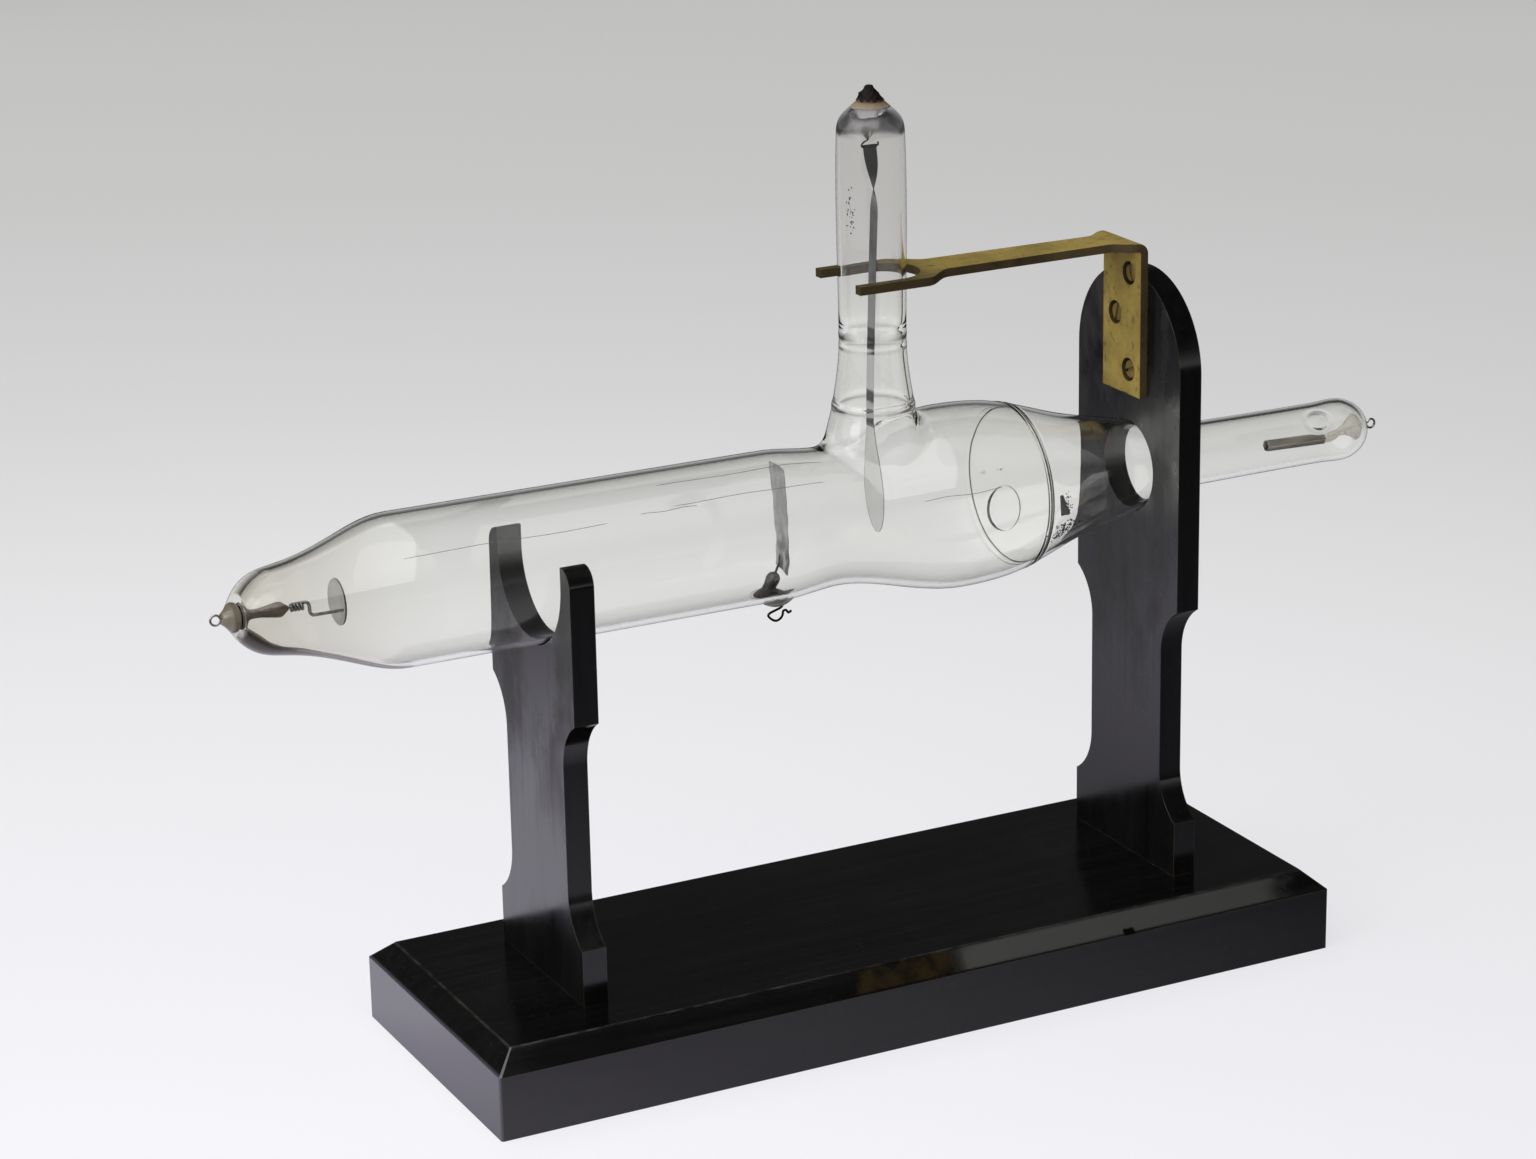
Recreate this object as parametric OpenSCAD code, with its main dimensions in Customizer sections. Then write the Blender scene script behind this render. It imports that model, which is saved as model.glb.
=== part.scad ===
// Crookes tube on its stand: a sealed glass tube with a hanging leaf,
// lying in two black wooden uprights on a bevelled base board.
// Frame: +X along the tube towards its narrow end, +Z up, origin at the
// middle of the base board's underside. Lengths in millimetres.

/* [Base board] */
// Length of the base board
base_l = 254; // [235:1:300]
// Width of the base board
base_w = 90; // [70:1:130]
// Height of the base board
base_h = 23; // [16:0.5:32]
// Width of the bevel round the top edge
bevel_w = 5.8; // [2:0.1:9]
// Height of the bevel round the top edge
bevel_h = 5.2; // [2:0.1:9]

/* [Uprights] */
// Thickness of the boards that make the uprights
upright_t = 6.9; // [6:0.1:10]
// Width across the foot and the head
upright_w = 52.4; // [48:0.1:60]
// Width across the waist
waist_w = 36.4; // [32:0.1:42]
// Radius of the coves above the foot and below the head
cove_r = 15.5; // [12:0.1:22]
// Height of the straight foot above the base board
foot_h = 15.8; // [8:0.1:24]
// Height of the head's lower corners above the base board
head_h = 78; // [66:0.5:84]
// Distance from the end of the base board to an upright's outer face
setback = 32.6; // [20:0.1:40]
// Height of the cradle's two tips above the tube's axis
tip_rise = 5.6; // [3:0.1:10]
// Rounding of the cradle tips' outer corners
tip_r = 5; // [2:0.1:5.5]
// Height of the rear arch's centre above the tube's axis
arch_rise = 30; // [26:0.1:40]
// Diameter of the hole in the rear upright
hole_d = 26.2; // [24:0.1:30]
// Width of the tenon under each foot
tenon_w = 30; // [20:0.5:36]
// Length of the tenon under each foot
tenon_l = 12; // [6:0.5:14]

/* [Fork bracket] */
// Thickness of the brass sheet
sheet_t = 2.3; // [1.5:0.1:3]
// Width of the plate that is screwed to the rear upright
plate_w = 19.2; // [17:0.1:24]
// Height of that plate, from its foot to the top of the arm
plate_h = 43.5; // [40:0.1:48]
// Height of the arm's top face above the tube's axis
arm_rise = 65; // [62:0.1:72]
// Width of the arm
arm_w = 11.8; // [8:0.1:14]
// Outer radius of the bend between plate and arm
bend_r = 3; // [2.6:0.1:5]
// Width of each prong of the fork
prong_w = 3.1; // [2:0.1:4.5]
// How far the prongs reach past the middle of the side tube
prong_reach = 10.2; // [5:0.1:14]
// Gap between the side tube and each prong
prong_gap = 0.5; // [0.3:0.05:2]
// Gap between the side tube and the root of the fork
root_gap = 1.5; // [0.5:0.1:4]
// Diameter of the screw heads
screw_head_d = 6; // [5:0.1:7]
// Diameter of the screw shanks
screw_d = 3; // [2.5:0.1:4]
// Length of the screws
screw_l = 8.4; // [7.6:0.1:9]
// Width of the slots in the screw heads
slot_w = 0.8; // [0.5:0.1:1.2]
// Sideways step of the middle screw from the other two
screw_step = 7; // [4:0.1:7.5]
// Distance from the plate's ends to the end screws
screw_inset = 7; // [6:0.1:10]

/* [Glass tube] */
// Height of the tube's axis above the base board
axis_h = 114; // [108:0.5:124]
// Diameter of the wide parallel part
tube_d = 40.4; // [36:0.1:42]
// Length of the wide parallel part
tube_l = 107; // [90:0.5:115]
// Wall thickness of the glass
glass_t = 1.2; // [0.8:0.1:1.6]
// Length of the tapered nose
nose_l = 47; // [44:0.5:56]
// Thickness of the solid glass at the nose's tip
nose_t = 5.7; // [5:0.1:6.2]
// Diameter of the small swelling behind the nose's tip
nose_d = 22.6; // [20:0.1:24]
// Diameter of the waist beside the side tube
neck_d = 37.6; // [35:0.1:39]
// Diameter of the bulb
bulb_d = 50.2; // [47:0.1:52]
// Diameter at the joint where the diaphragm is sealed in
joint_d = 46; // [44:0.1:47]
// Thickness of the diaphragm
diaphragm_t = 0.8; // [0.6:0.1:1.5]
// Width of the oval opening in the diaphragm
opening_w = 17; // [14:0.1:20]
// Height of the oval opening in the diaphragm
opening_h = 13; // [9:0.1:13.8]
// Drop of the opening's centre below the axis
opening_drop = 7; // [4:0.1:9]
// Diameter of the narrow end
tail_d = 17.1; // [15:0.1:19]
// Distance from the seat in the rear upright forward to the diaphragm
joint_back = 38.2; // [34:0.1:42]
// Distance from the seat forward to the widest part of the bulb
bulb_back = 57.5; // [52:0.1:62]
// Distance from the seat forward to the side tube's axis
side_back = 79.9; // [76:0.1:84]
// Distance from the seat forward to the waist
neck_back = 94.5; // [90:0.1:99]
// Distance from the seat forward to the wide parallel part
tube_back = 111.5; // [106:0.1:118]
// Length of the taper behind the seat
taper_l = 16.5; // [12:0.1:22]
// Length of the tube behind the seat
tail_l = 78.7; // [70:0.1:90]
// Diameter of the seal-off scar on the narrow end
scar_d = 6.2; // [4:0.1:7]
// Height of the seal-off scar
scar_h = 0.5; // [0.3:0.1:1]
// Diameter of the upright side tube
side_d = 18; // [16.5:0.1:19]
// Height of the side tube's weld above the axis
weld_rise = 47.3; // [42:0.1:52]
// Height of the side tube's shoulder above the axis
shoulder_rise = 104; // [98:0.1:112]
// Length of the glass point above the shoulder, without its wax
point_l = 7.6; // [6:0.1:10]
// Height of the wax cap on the point
wax_l = 3.7; // [2:0.1:5]
// Gap between the glass and the wood that it rests in
seat_gap = 0.3; // [0.2:0.05:0.5]

/* [Electrodes] */
// Diameter of the lead wires
lead_d = 0.6; // [0.4:0.05:0.8]
// Outer diameter of the terminal loops
loop_d = 3.2; // [2.6:0.1:4.5]
// Diameter of the wire that carries the disc
disc_wire_d = 0.8; // [0.6:0.05:0.9]
// Diameter of the disc
disc_d = 12.4; // [10:0.1:14]
// Thickness of the disc
disc_t = 0.7; // [0.4:0.1:1.2]
// Length of the nose's inner stem
nose_stem_l = 12; // [10.5:0.1:14]
// Diameter of the bead on the nose's inner stem
nose_bead_d = 3.9; // [3:0.1:5]
// Diameter of the stem under the strip
boot_d = 4; // [3:0.1:5]
// Length of the stem under the strip, from the outer wall
boot_l = 7.6; // [6.6:0.1:9]
// Lean of that stem towards the narrow end
boot_lean = 25; // [15:1:30]
// Width of the strip at its top
strip_w = 8.7; // [7:0.1:11]
// Width of the strip at its foot
strip_foot_w = 6.6; // [5:0.1:9]
// Length of the strip
strip_l = 29; // [22:0.1:31]
// Thickness of the strip
strip_t = 0.4; // [0.3:0.05:0.8]
// Diameter of the rod in the narrow end
rod_d = 2.9; // [2.2:0.1:4]
// Length of the rod in the narrow end
rod_l = 19.5; // [15:0.1:24]
// Length of the stem that holds the rod
tail_stem_l = 12.5; // [10:0.1:15]

/* [Hanging leaf] */
// Diameter of the hook's wire
hook_d = 0.5; // [0.4:0.05:0.6]
// Width of the ribbon
ribbon_w = 3.9; // [3:0.1:4.6]
// Thickness of the ribbon and of the leaf
foil_t = 0.2; // [0.15:0.05:0.3]
// Length of the ribbon's quarter twist
twist_l = 16; // [10:0.5:24]
// Length from the hook to the leaf's top
ribbon_l = 76; // [70:0.5:78]
// Length of the leaf
leaf_l = 31; // [24:0.5:34]
// Greatest width of the leaf
leaf_w = 11; // [8:0.1:13]
// Depth of the nub under the side tube's ceiling
nub_l = 2.2; // [1.5:0.1:3]

/* [Hidden] */
$fn = 64;
// Gap left between pieces that are glued, melted or screwed together
fit = 0.02;
// Gap of the loose pieces that turn on each other
loose = 0.06;
// How far a cut runs past the face that it opens
past = 1;

// Places along the tube, from the face that the taper seats against
seat_x = base_l / 2 - setback - upright_t;
joint_x = seat_x - joint_back;
bulb_x = seat_x - bulb_back;
side_x = seat_x - side_back;
neck_x = seat_x - neck_back;
tube_x = seat_x - tube_back;
nose_x = tube_x - tube_l;
tip_x = nose_x - nose_l;
cavity_x = tip_x + nose_t;
tail_x = seat_x + taper_l;
end_x = seat_x + tail_l;
axis_z = base_h + axis_h;
tube_r = tube_d / 2;
tail_r = tail_d / 2;
side_r = side_d / 2;
dome_x = end_x - tail_r;
inner_end_x = end_x - glass_t;

// Smooth curves: a station is [place, radius, slope]
steps = 10;
function between(a, b, t) =
  let (l = b[0] - a[0])
  (2 * t^3 - 3 * t^2 + 1) * a[1] + (t^3 - 2 * t^2 + t) * l * a[2]
  + (3 * t^2 - 2 * t^3) * b[1] + (t^3 - t^2) * l * b[2];
function curve(s) = [
  for (i = [0 : len(s) - 2], k = [0 : steps - 1])
    [s[i][0] + (s[i + 1][0] - s[i][0]) * k / steps, between(s[i], s[i + 1], k / steps)],
  [s[len(s) - 1][0], s[len(s) - 1][1]]
];
function inset(s, d) = [for (p = s) [p[0], p[1] - d, p[2]]];
function arc(c, r, from, to) =
  [for (k = [0 : steps]) c + r * [cos(from + (to - from) * k / steps), sin(from + (to - from) * k / steps)]];

// A solid turned about the tube's axis from points [x, radius]
module turned(points) {
  translate([0, 0, axis_z]) rotate([0, 90, 0]) rotate_extrude()
    polygon([for (p = points) [p[1], p[0]]]);
}

// A solid turned about the side tube's axis from points [height, radius]
module turned_up(points) {
  translate([side_x, 0, axis_z]) rotate_extrude()
    polygon([for (p = points) [p[1], p[0]]]);
}

// A plate in the plane of the uprights: drawn as [y, z], thickness t along X
module across(x, t) {
  translate([x, 0, 0]) rotate([90, 0, 90]) linear_extrude(t) children();
}

// A round bar from a to b
module bar(a, b, d) {
  l = norm(b - a);
  translate(a) rotate([0, acos((b - a)[2] / l), atan2((b - a)[1], (b - a)[0])]) cylinder(d = d, h = l);
}

// A wire loop standing along the tube, centred at c
module loop(c) {
  translate(c) rotate([90, 0, 0]) rotate_extrude() translate([(loop_d - lead_d) / 2, 0]) circle(d = lead_d, $fn = 24);
}

// Outer faces of the uprights lie at the same distance from both ends
front_x = -base_l / 2 + setback;
rear_x = base_l / 2 - setback - upright_t;

module base_board() {
  l = base_l / 2;
  w = base_w / 2;
  color("black") difference() {
    intersection() {
      translate([0, w, 0]) rotate([90, 0, 0]) linear_extrude(base_w)
        polygon([[-l, 0], [l, 0], [l, base_h - bevel_h], [l - bevel_w, base_h],
          [-l + bevel_w, base_h], [-l, base_h - bevel_h]]);
      across(-l, base_l)
        polygon([[-w, 0], [w, 0], [w, base_h - bevel_h], [w - bevel_w, base_h],
          [-w + bevel_w, base_h], [-w, base_h - bevel_h]]);
    }
    for (x = [front_x, rear_x])
      translate([x - fit, -tenon_w / 2 - fit, base_h - tenon_l - fit])
        cube([upright_t + 2 * fit, tenon_w + 2 * fit, tenon_l + fit + past]);
  }
}

// The hollow side of an upright: two coves with the waist between them
module side_hollow() {
  rise = sqrt(cove_r^2 - (cove_r - (upright_w - waist_w) / 2)^2);
  low = base_h + foot_h + rise;
  high = base_h + head_h - rise;
  for (z = [low, high]) translate([waist_w / 2 + cove_r, z]) circle(cove_r, $fn = 96);
  translate([waist_w / 2, low]) square([2 * cove_r, high - low]);
}

module upright_blank(top) {
  difference() {
    translate([-upright_w / 2, base_h]) square([upright_w, top - base_h]);
    side_hollow();
    mirror([1, 0]) side_hollow();
  }
  translate([-tenon_w / 2, base_h - tenon_l]) square([tenon_w, tenon_l]);
}

module front_upright() {
  cradle_r = tube_r + seat_gap;
  top = axis_z + tip_rise;
  color("black") across(front_x, upright_t) difference() {
    union() {
      upright_blank(top - tip_r);
      translate([-upright_w / 2 + tip_r, base_h + head_h]) square([upright_w - 2 * tip_r, top - base_h - head_h]);
      for (s = [-1, 1]) translate([s * (upright_w / 2 - tip_r), top - tip_r]) circle(tip_r);
    }
    translate([0, axis_z]) circle(cradle_r, $fn = 128);
    translate([-cradle_r, axis_z]) square([2 * cradle_r, tip_rise + past]);
  }
}

// The bracket's screws stand in a zigzag on the plate
plate_top = axis_z + arm_rise;
screw_places = [
  [-screw_step / 2, plate_top - plate_h + screw_inset],
  [screw_step / 2, plate_top - plate_h / 2],
  [-screw_step / 2, plate_top - screw_inset - sheet_t]
];
head_l = (screw_head_d - screw_d) / 2;
plate_x = rear_x - sheet_t;

// The space that a bracket screw takes, with a gap all round
module screw_room(p, gap) {
  translate([plate_x, p[0], p[1]]) rotate([0, 90, 0]) {
    cylinder(d1 = screw_head_d + 2 * gap, d2 = screw_d + 2 * gap, h = head_l);
    cylinder(d = screw_d + 2 * gap, h = screw_l + gap);
  }
}

module rear_upright() {
  centre = axis_z + arch_rise;
  color("black") difference() {
    across(rear_x, upright_t) difference() {
      union() {
        upright_blank(centre);
        translate([0, centre]) circle(upright_w / 2, $fn = 128);
      }
      translate([0, axis_z]) circle(d = hole_d, $fn = 96);
    }
    for (p = screw_places) screw_room(p, fit);
  }
}

// Outline of the flat arm and fork, as [x, y], for one side of its middle line
fork_in = side_r + prong_gap;
fork_out = fork_in + prong_w;
fork_root = side_x + side_r + root_gap;
fork_turn = fork_root - fork_in;
shoulder_l = 9;
plate_flare_l = 8;
function fork_side() = concat(
  [[side_x - prong_reach, fork_in], [side_x - prong_reach, fork_out], [fork_turn + fork_in / 2, fork_out]],
  [for (k = [1 : steps])
    [fork_turn + fork_in / 2 + shoulder_l * k / steps,
     arm_w / 2 + (fork_out - arm_w / 2) * (1 + cos(180 * k / steps)) / 2]],
  [for (k = [0 : steps])
    [plate_x - plate_flare_l + (plate_flare_l + sheet_t - bend_r) * k / steps,
     arm_w / 2 + (plate_w - arm_w) / 4 * (1 - cos(180 * k / steps))]]
);
function turned_over(p) = [for (i = [len(p) - 1 : -1 : 0]) [p[i][0], -p[i][1]]];

module fork_bracket() {
  color("darkgoldenrod") difference() {
    union() {
      translate([0, 0, plate_top - sheet_t]) linear_extrude(sheet_t) difference() {
        polygon(concat(fork_side(), turned_over(fork_side())));
        translate([fork_turn, 0]) circle(fork_in);
        translate([side_x - prong_reach - past, -fork_in])
          square([fork_turn - side_x + prong_reach + past, 2 * fork_in]);
      }
      translate([plate_x, -plate_w / 2, plate_top - plate_h]) cube([sheet_t, plate_w, plate_h - bend_r]);
      intersection() {
        translate([rear_x - bend_r, plate_w / 2, plate_top - bend_r]) rotate([90, 0, 0]) difference() {
          cylinder(r = bend_r, h = plate_w);
          translate([0, 0, -past]) cylinder(r = bend_r - sheet_t, h = plate_w + 2 * past);
        }
        translate([rear_x - bend_r, -plate_w / 2, plate_top - bend_r]) cube([bend_r, plate_w, bend_r]);
      }
    }
    for (p = screw_places) screw_room(p, fit);
  }
}

module bracket_screws() {
  slot_depth = head_l / 2;
  color("goldenrod") for (p = screw_places) difference() {
    screw_room(p, 0);
    translate([plate_x - past, p[0], p[1]]) rotate([20, 0, 0])
      translate([0, -slot_w / 2, -screw_head_d]) cube([past + slot_depth, slot_w, 2 * screw_head_d]);
  }
}

// Stations of the glass wall from the nose to the joint at the diaphragm
nose_side = [
  [tip_x, 1.5, 0.6],
  [tip_x + 2.8, 4.7, 1.5],
  [tip_x + 13, nose_d / 2, 0.17],
  [tip_x + 20, nose_d / 2 + 1.2, 0.22],
  [nose_x - 13, tube_r - 3.2, 0.38],
  [nose_x, tube_r, 0]
];
bulb_side = [
  [tube_x, tube_r, 0],
  [neck_x, neck_d / 2, 0],
  [bulb_x, bulb_d / 2, 0],
  [joint_x, joint_d / 2, -0.27]
];
nose_cavity = [[cavity_x, 4.5, 1.3], [tip_x + 13, nose_d / 2 - glass_t, 0.17]];
nose_inner = [for (i = [2 : len(nose_side) - 1]) nose_side[i]];

// Stations of the neck that carries the side tube: heights above the axis
neck_side = [[15, side_r + 4.4, 0], [20, side_r + 4.2, -0.2], [30, side_r + 1.9, -0.16], [weld_rise, side_r, 0]];

// A place on the stem under the strip: l along its leaning middle line
boot_x = tube_x - 2;
function on_boot(l) = [boot_x + l * sin(boot_lean), 0, axis_z - tube_r + l * cos(boot_lean)];
module at_boot() {
  translate(on_boot(0)) rotate([0, boot_lean, 0]) children();
}

module main_tube() {
  color("lightcyan", 0.35) difference() {
    union() {
      turned(concat([[tip_x, 0]], curve(nose_side), curve(bulb_side), [[joint_x, 0]]));
      turned_up(concat([[neck_side[0][0], 0]], curve(neck_side), [[weld_rise, 0]]));
    }
    turned(concat([[cavity_x, 0]], curve(nose_cavity), curve(inset(nose_inner, glass_t)),
      curve(inset(bulb_side, glass_t)), [[joint_x + past, joint_d / 2 - glass_t], [joint_x + past, 0]]));
    turned_up(concat([[0, 0], [0, neck_side[0][1] - glass_t]], curve(inset(neck_side, glass_t)),
      [[weld_rise + past, side_r - glass_t], [weld_rise + past, 0]]));
    bar([tip_x - past, 0, axis_z], [cavity_x + past, 0, axis_z], lead_d + 2 * fit);
    at_boot() translate([0, 0, -boot_d]) cylinder(d = boot_d + 2 * fit, h = 2 * boot_d);
  }
}

module diaphragm() {
  color("lightcyan", 0.35) difference() {
    translate([joint_x, 0, axis_z]) rotate([0, 90, 0]) cylinder(d = joint_d, h = diaphragm_t, $fn = 96);
    across(joint_x - past, diaphragm_t + 2 * past) translate([0, axis_z - opening_drop]) {
      for (s = [-1, 1]) translate([s * (opening_w - opening_h) / 2, 0]) circle(d = opening_h);
      square([opening_w - opening_h, opening_h], center = true);
    }
  }
}

// Stations of the glass behind the diaphragm, down to the narrow end
back_x = joint_x + diaphragm_t;
taper_side = [
  [back_x, joint_d / 2, -0.3],
  [joint_x + 14.7, joint_d / 2 - 4.7, -0.31],
  [seat_x, hole_d / 2 - seat_gap, -0.27],
  [tail_x, tail_r, 0],
  [dome_x, tail_r, 0]
];
// The scar faces up and to the near side
scar_turn = 46;
scar_x = end_x - 17;

module tail_tube() {
  outer = concat([[back_x, 0]], curve(taper_side), [for (p = arc([dome_x, 0], tail_r, 90, 0)) p]);
  inner = concat([[back_x - past, 0], [back_x - past, joint_d / 2 - glass_t]], curve(inset(taper_side, glass_t)),
    [for (p = arc([dome_x, 0], tail_r - glass_t, 90, 0)) p]);
  color("lightcyan", 0.35) difference() {
    union() {
      turned(outer);
      translate([scar_x, 0, axis_z]) rotate([scar_turn, 0, 0]) rotate([90, 0, 0]) intersection() {
        cylinder(d = scar_d, h = tail_d);
        rotate([0, 90, 0]) cylinder(r = tail_r + scar_h, h = tail_d, center = true);
      }
    }
    turned(inner);
    bar([dome_x, 0, axis_z], [end_x + past, 0, axis_z], lead_d + 2 * fit);
  }
}

// The side tube's closed top: a rounded shoulder that runs up into a point
ceiling_rise = shoulder_rise - 0.4;
point_r = 3.1;
point_side = [
  [shoulder_rise, side_r, -0.1],
  [shoulder_rise + point_l * 0.6, side_r * 0.7, -0.95],
  [shoulder_rise + point_l, point_r, -0.95]
];

module side_tube() {
  color("lightcyan", 0.35) difference() {
    turned_up(concat([[weld_rise, 0], [weld_rise, side_r]], curve(point_side), [[shoulder_rise + point_l, 0]]));
    turned_up([[weld_rise - past, 0], [weld_rise - past, side_r - glass_t],
      [ceiling_rise - 2, side_r - glass_t], [ceiling_rise, side_r - glass_t - 2], [ceiling_rise, 0]]);
  }
}

module tip_wax() {
  foot = shoulder_rise + point_l;
  color("black") turned_up([[foot, 0], [foot, point_r], [foot + wax_l * 0.9, 0.9], [foot + wax_l, 0.4], [foot + wax_l, 0]]);
}

// Inner stem of the nose: a flared foot, a thin neck and a bead
stem_end_x = cavity_x + nose_stem_l;
stem_side = [
  [cavity_x, 2.6, -1],
  [cavity_x + 2.5, 1.2, -0.1],
  [stem_end_x - 3.4, nose_bead_d / 2, 0],
  [stem_end_x, lead_d / 2 + 0.3, -0.8]
];

module nose_stem() {
  color("tan") difference() {
    turned(concat([[cavity_x, 0]], curve(stem_side), [[stem_end_x, 0]]));
    bar([cavity_x - past, 0, axis_z], [stem_end_x + past, 0, axis_z], lead_d + 2 * fit);
  }
}

// The disc's wire is wound round the end of the nose's lead
coil_turns = 3;
coil_rings = 12;
coil_gap = 0.45;
coil_pitch = disc_wire_d + coil_gap;
coil_r = lead_d / 2 + disc_wire_d / 2 + 0.1;
coil_x = stem_end_x + 0.5;
coil_end_x = coil_x + coil_turns * coil_pitch;

module nose_lead() {
  loop_x = tip_x - loop_d / 2;
  color("silver") {
    bar([tip_x - lead_d / 2, 0, axis_z], [coil_end_x, 0, axis_z], lead_d);
    loop([loop_x, 0, axis_z]);
  }
}

// Path of the disc's wire: the winding, a cranked drop and a straight run
crank_drop = 3;
disc_x = coil_end_x + 10.9;
winding = [
  for (k = [0 : coil_turns * coil_rings])
    let (a = 360 * k / coil_rings)
    [coil_x + coil_pitch * k / coil_rings, -coil_r * sin(a), coil_r * cos(a)]
];
crank = [[0.9, 0, 0.55], [1.35, 0, -0.3], [1.45, 0, -1.3], [1.6, 0, -2.3], [2.2, 0, -2.9]];
wire_path = concat(
  winding,
  [for (p = crank) p + [coil_end_x, 0, 0]],
  [[coil_end_x + 3.2, 0, -crank_drop], [disc_x - disc_t / 2, 0, -crank_drop]]
);

// Least gap of the winding to itself, a turn apart
function turn_gap(i) = norm(winding[i + coil_rings] - winding[i]) - disc_wire_d;
echo(least_winding_gap = min([for (i = [0 : len(winding) - 1 - coil_rings]) turn_gap(i)]));

// A bent round wire along points, as one closed skin
wire_sides = 8;
function ring_dir(p, i) = let (a = p[max(i - 1, 0)], b = p[min(i + 1, len(p) - 1)]) (b - a) / norm(b - a);
function ring(c, d, r) =
  let (u = cross(d, abs(d[1]) < 0.9 ? [0, 1, 0] : [0, 0, 1]), v = u / norm(u), w = cross(d, v))
  [for (k = [0 : wire_sides - 1]) c + r * (cos(360 * k / wire_sides) * v + sin(360 * k / wire_sides) * w)];

module wire(p, d) {
  n = wire_sides;
  last = len(p) - 1;
  dirs = [for (i = [0 : last]) i == last ? (p[last] - p[last - 1]) / norm(p[last] - p[last - 1]) : ring_dir(p, i)];
  points = [for (i = [0 : last]) each ring(p[i], dirs[i], d / 2)];
  skin = [
    for (i = [0 : last - 1], k = [0 : n - 1])
      let (a = i * n + k, b = i * n + (k + 1) % n)
      each [[a, b, a + n], [b, b + n, a + n]]
  ];
  caps = [
    for (k = [1 : n - 2])
      each [[0, k + 1, k], [last * n, last * n + k, last * n + k + 1]]
  ];
  polyhedron(points, concat(skin, caps));
}

module disc_wire() {
  color("silver") translate([0, 0, axis_z]) wire(wire_path, disc_wire_d);
}

// The wire meets the disc near its rim, so the disc stands off to the far side
disc_off = disc_d / 2 - 1;

module disc_electrode() {
  color("silver") translate([disc_x - disc_t / 2, disc_off, axis_z - crank_drop + 0.6])
    rotate([0, 90, 0]) cylinder(d = disc_d, h = disc_t);
}

// The stem under the strip passes through the wall and spreads on the inside
collar_d = 1.8 * boot_d;
strip_x = on_boot(boot_l)[0] + 1.6;

module strip_stem() {
  color("dimgray") difference() {
    union() {
      at_boot() rotate_extrude() polygon(concat(
        [[0, -1.2], [1, -1.2], [boot_d / 2, 0.2]],
        arc([0, boot_l - boot_d / 2], boot_d / 2, 0, 80),
        [[0, boot_l]]));
      intersection() {
        at_boot() cylinder(d = collar_d, h = boot_l / 2);
        translate([boot_x - tube_r, 0, axis_z]) rotate([0, 90, 0]) cylinder(r = tube_r - glass_t - fit, h = tube_d);
      }
    }
    at_boot() translate([0, 0, -boot_l]) cylinder(d = lead_d + 2 * fit, h = 3 * boot_l);
  }
}

// Its lead leans with the stem, then stands against the strip
lead_run_x = strip_x - strip_t / 2 - lead_d / 2 - fit;
lead_bend = (lead_run_x - boot_x) / sin(boot_lean);

// Below the wall it is bent once round into a loop, with a short tail
eye_way = (loop_d - lead_d) / 2;
eye_step = lead_d + 0.3;
eye_c = on_boot(-1.6) - [0, 0, eye_way];
strip_lead_path = concat(
  [on_boot(lead_bend) + [0, 0, 4], on_boot(lead_bend), on_boot(-1)],
  [for (k = [0 : 11])
    let (a = 90 + 30 * k)
    eye_c + [eye_way * cos(a), -eye_step * k / 11, eye_way * sin(a)]],
  [eye_c + [eye_way + 1, -eye_step, 0.7], eye_c + [eye_way + 3, -eye_step, 0.4], eye_c + [eye_way + 4.4, -eye_step, -0.4]]
);

module strip_lead() {
  color("silver") wire(strip_lead_path, lead_d);
}

strip_z = on_boot(lead_bend)[2] - 1.5;

module strip_electrode() {
  r = 1.6;
  top = strip_z + strip_l;
  color("gray") across(strip_x - strip_t / 2, strip_t) polygon(concat(
    [[-strip_foot_w / 2, strip_z + r], [-strip_foot_w / 2 + r, strip_z], [strip_foot_w / 2, strip_z + r]],
    arc([strip_w / 2 - r, top - r], r, 0, 90),
    arc([-strip_w / 2 + r, top - r], r, 90, 180)));
}

// Stem in the narrow end: melted to the dome, drawn out to hold the rod
stem_x = inner_end_x - tail_stem_l;
tail_stem_side = [[stem_x, 0.9, 0], [stem_x + 5, 1.1, 0.1], [inner_end_x - 2, 3.4, 0.5], [inner_end_x + 1, 4.6, 0.3]];

module tail_stem() {
  color("tan") difference() {
    intersection() {
      turned(concat([[stem_x, 0]], curve(tail_stem_side), [[inner_end_x + 1, 0]]));
      translate([dome_x, 0, axis_z]) {
        sphere(r = tail_r - glass_t - fit, $fn = 96);
        rotate([0, -90, 0]) cylinder(r = tail_r - glass_t - fit, h = tail_stem_l);
      }
    }
    bar([stem_x - past, 0, axis_z], [end_x, 0, axis_z], lead_d + 2 * fit);
  }
}

rod_grip = rod_l / 2;

module tail_lead() {
  color("silver") {
    bar([stem_x - rod_grip, 0, axis_z], [end_x + lead_d / 2 + 1.2, 0, axis_z], lead_d);
    loop([end_x + 1.2 + loop_d / 2, 0, axis_z]);
  }
}

module rod_electrode() {
  color("gray") difference() {
    bar([stem_x - rod_l, 0, axis_z], [stem_x, 0, axis_z], rod_d);
    bar([stem_x - rod_l - past, 0, axis_z], [stem_x + past, 0, axis_z], lead_d + 2 * fit);
    bar([stem_x - rod_l - past, 0, axis_z], [stem_x - rod_l + rod_grip / 2, 0, axis_z], rod_d * 0.6);
  }
}

// The hook hangs from a nub a little off the side tube's middle
nub_off = -0.8;
hook_z = axis_z + ceiling_rise - nub_l - 2.3;
hook_mid = side_x - 0.2;
hook_half = ribbon_w / 2 + hook_d / 2 + loose;

module hook_stem() {
  color("lightgray") difference() {
    translate([side_x + nub_off, 0, axis_z + ceiling_rise - nub_l]) cylinder(r1 = 0.7, r2 = 2.4, h = nub_l);
    translate([side_x + nub_off, 0, axis_z + ceiling_rise - nub_l - past]) cylinder(d = hook_d + 2 * fit, h = nub_l);
  }
}

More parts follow.
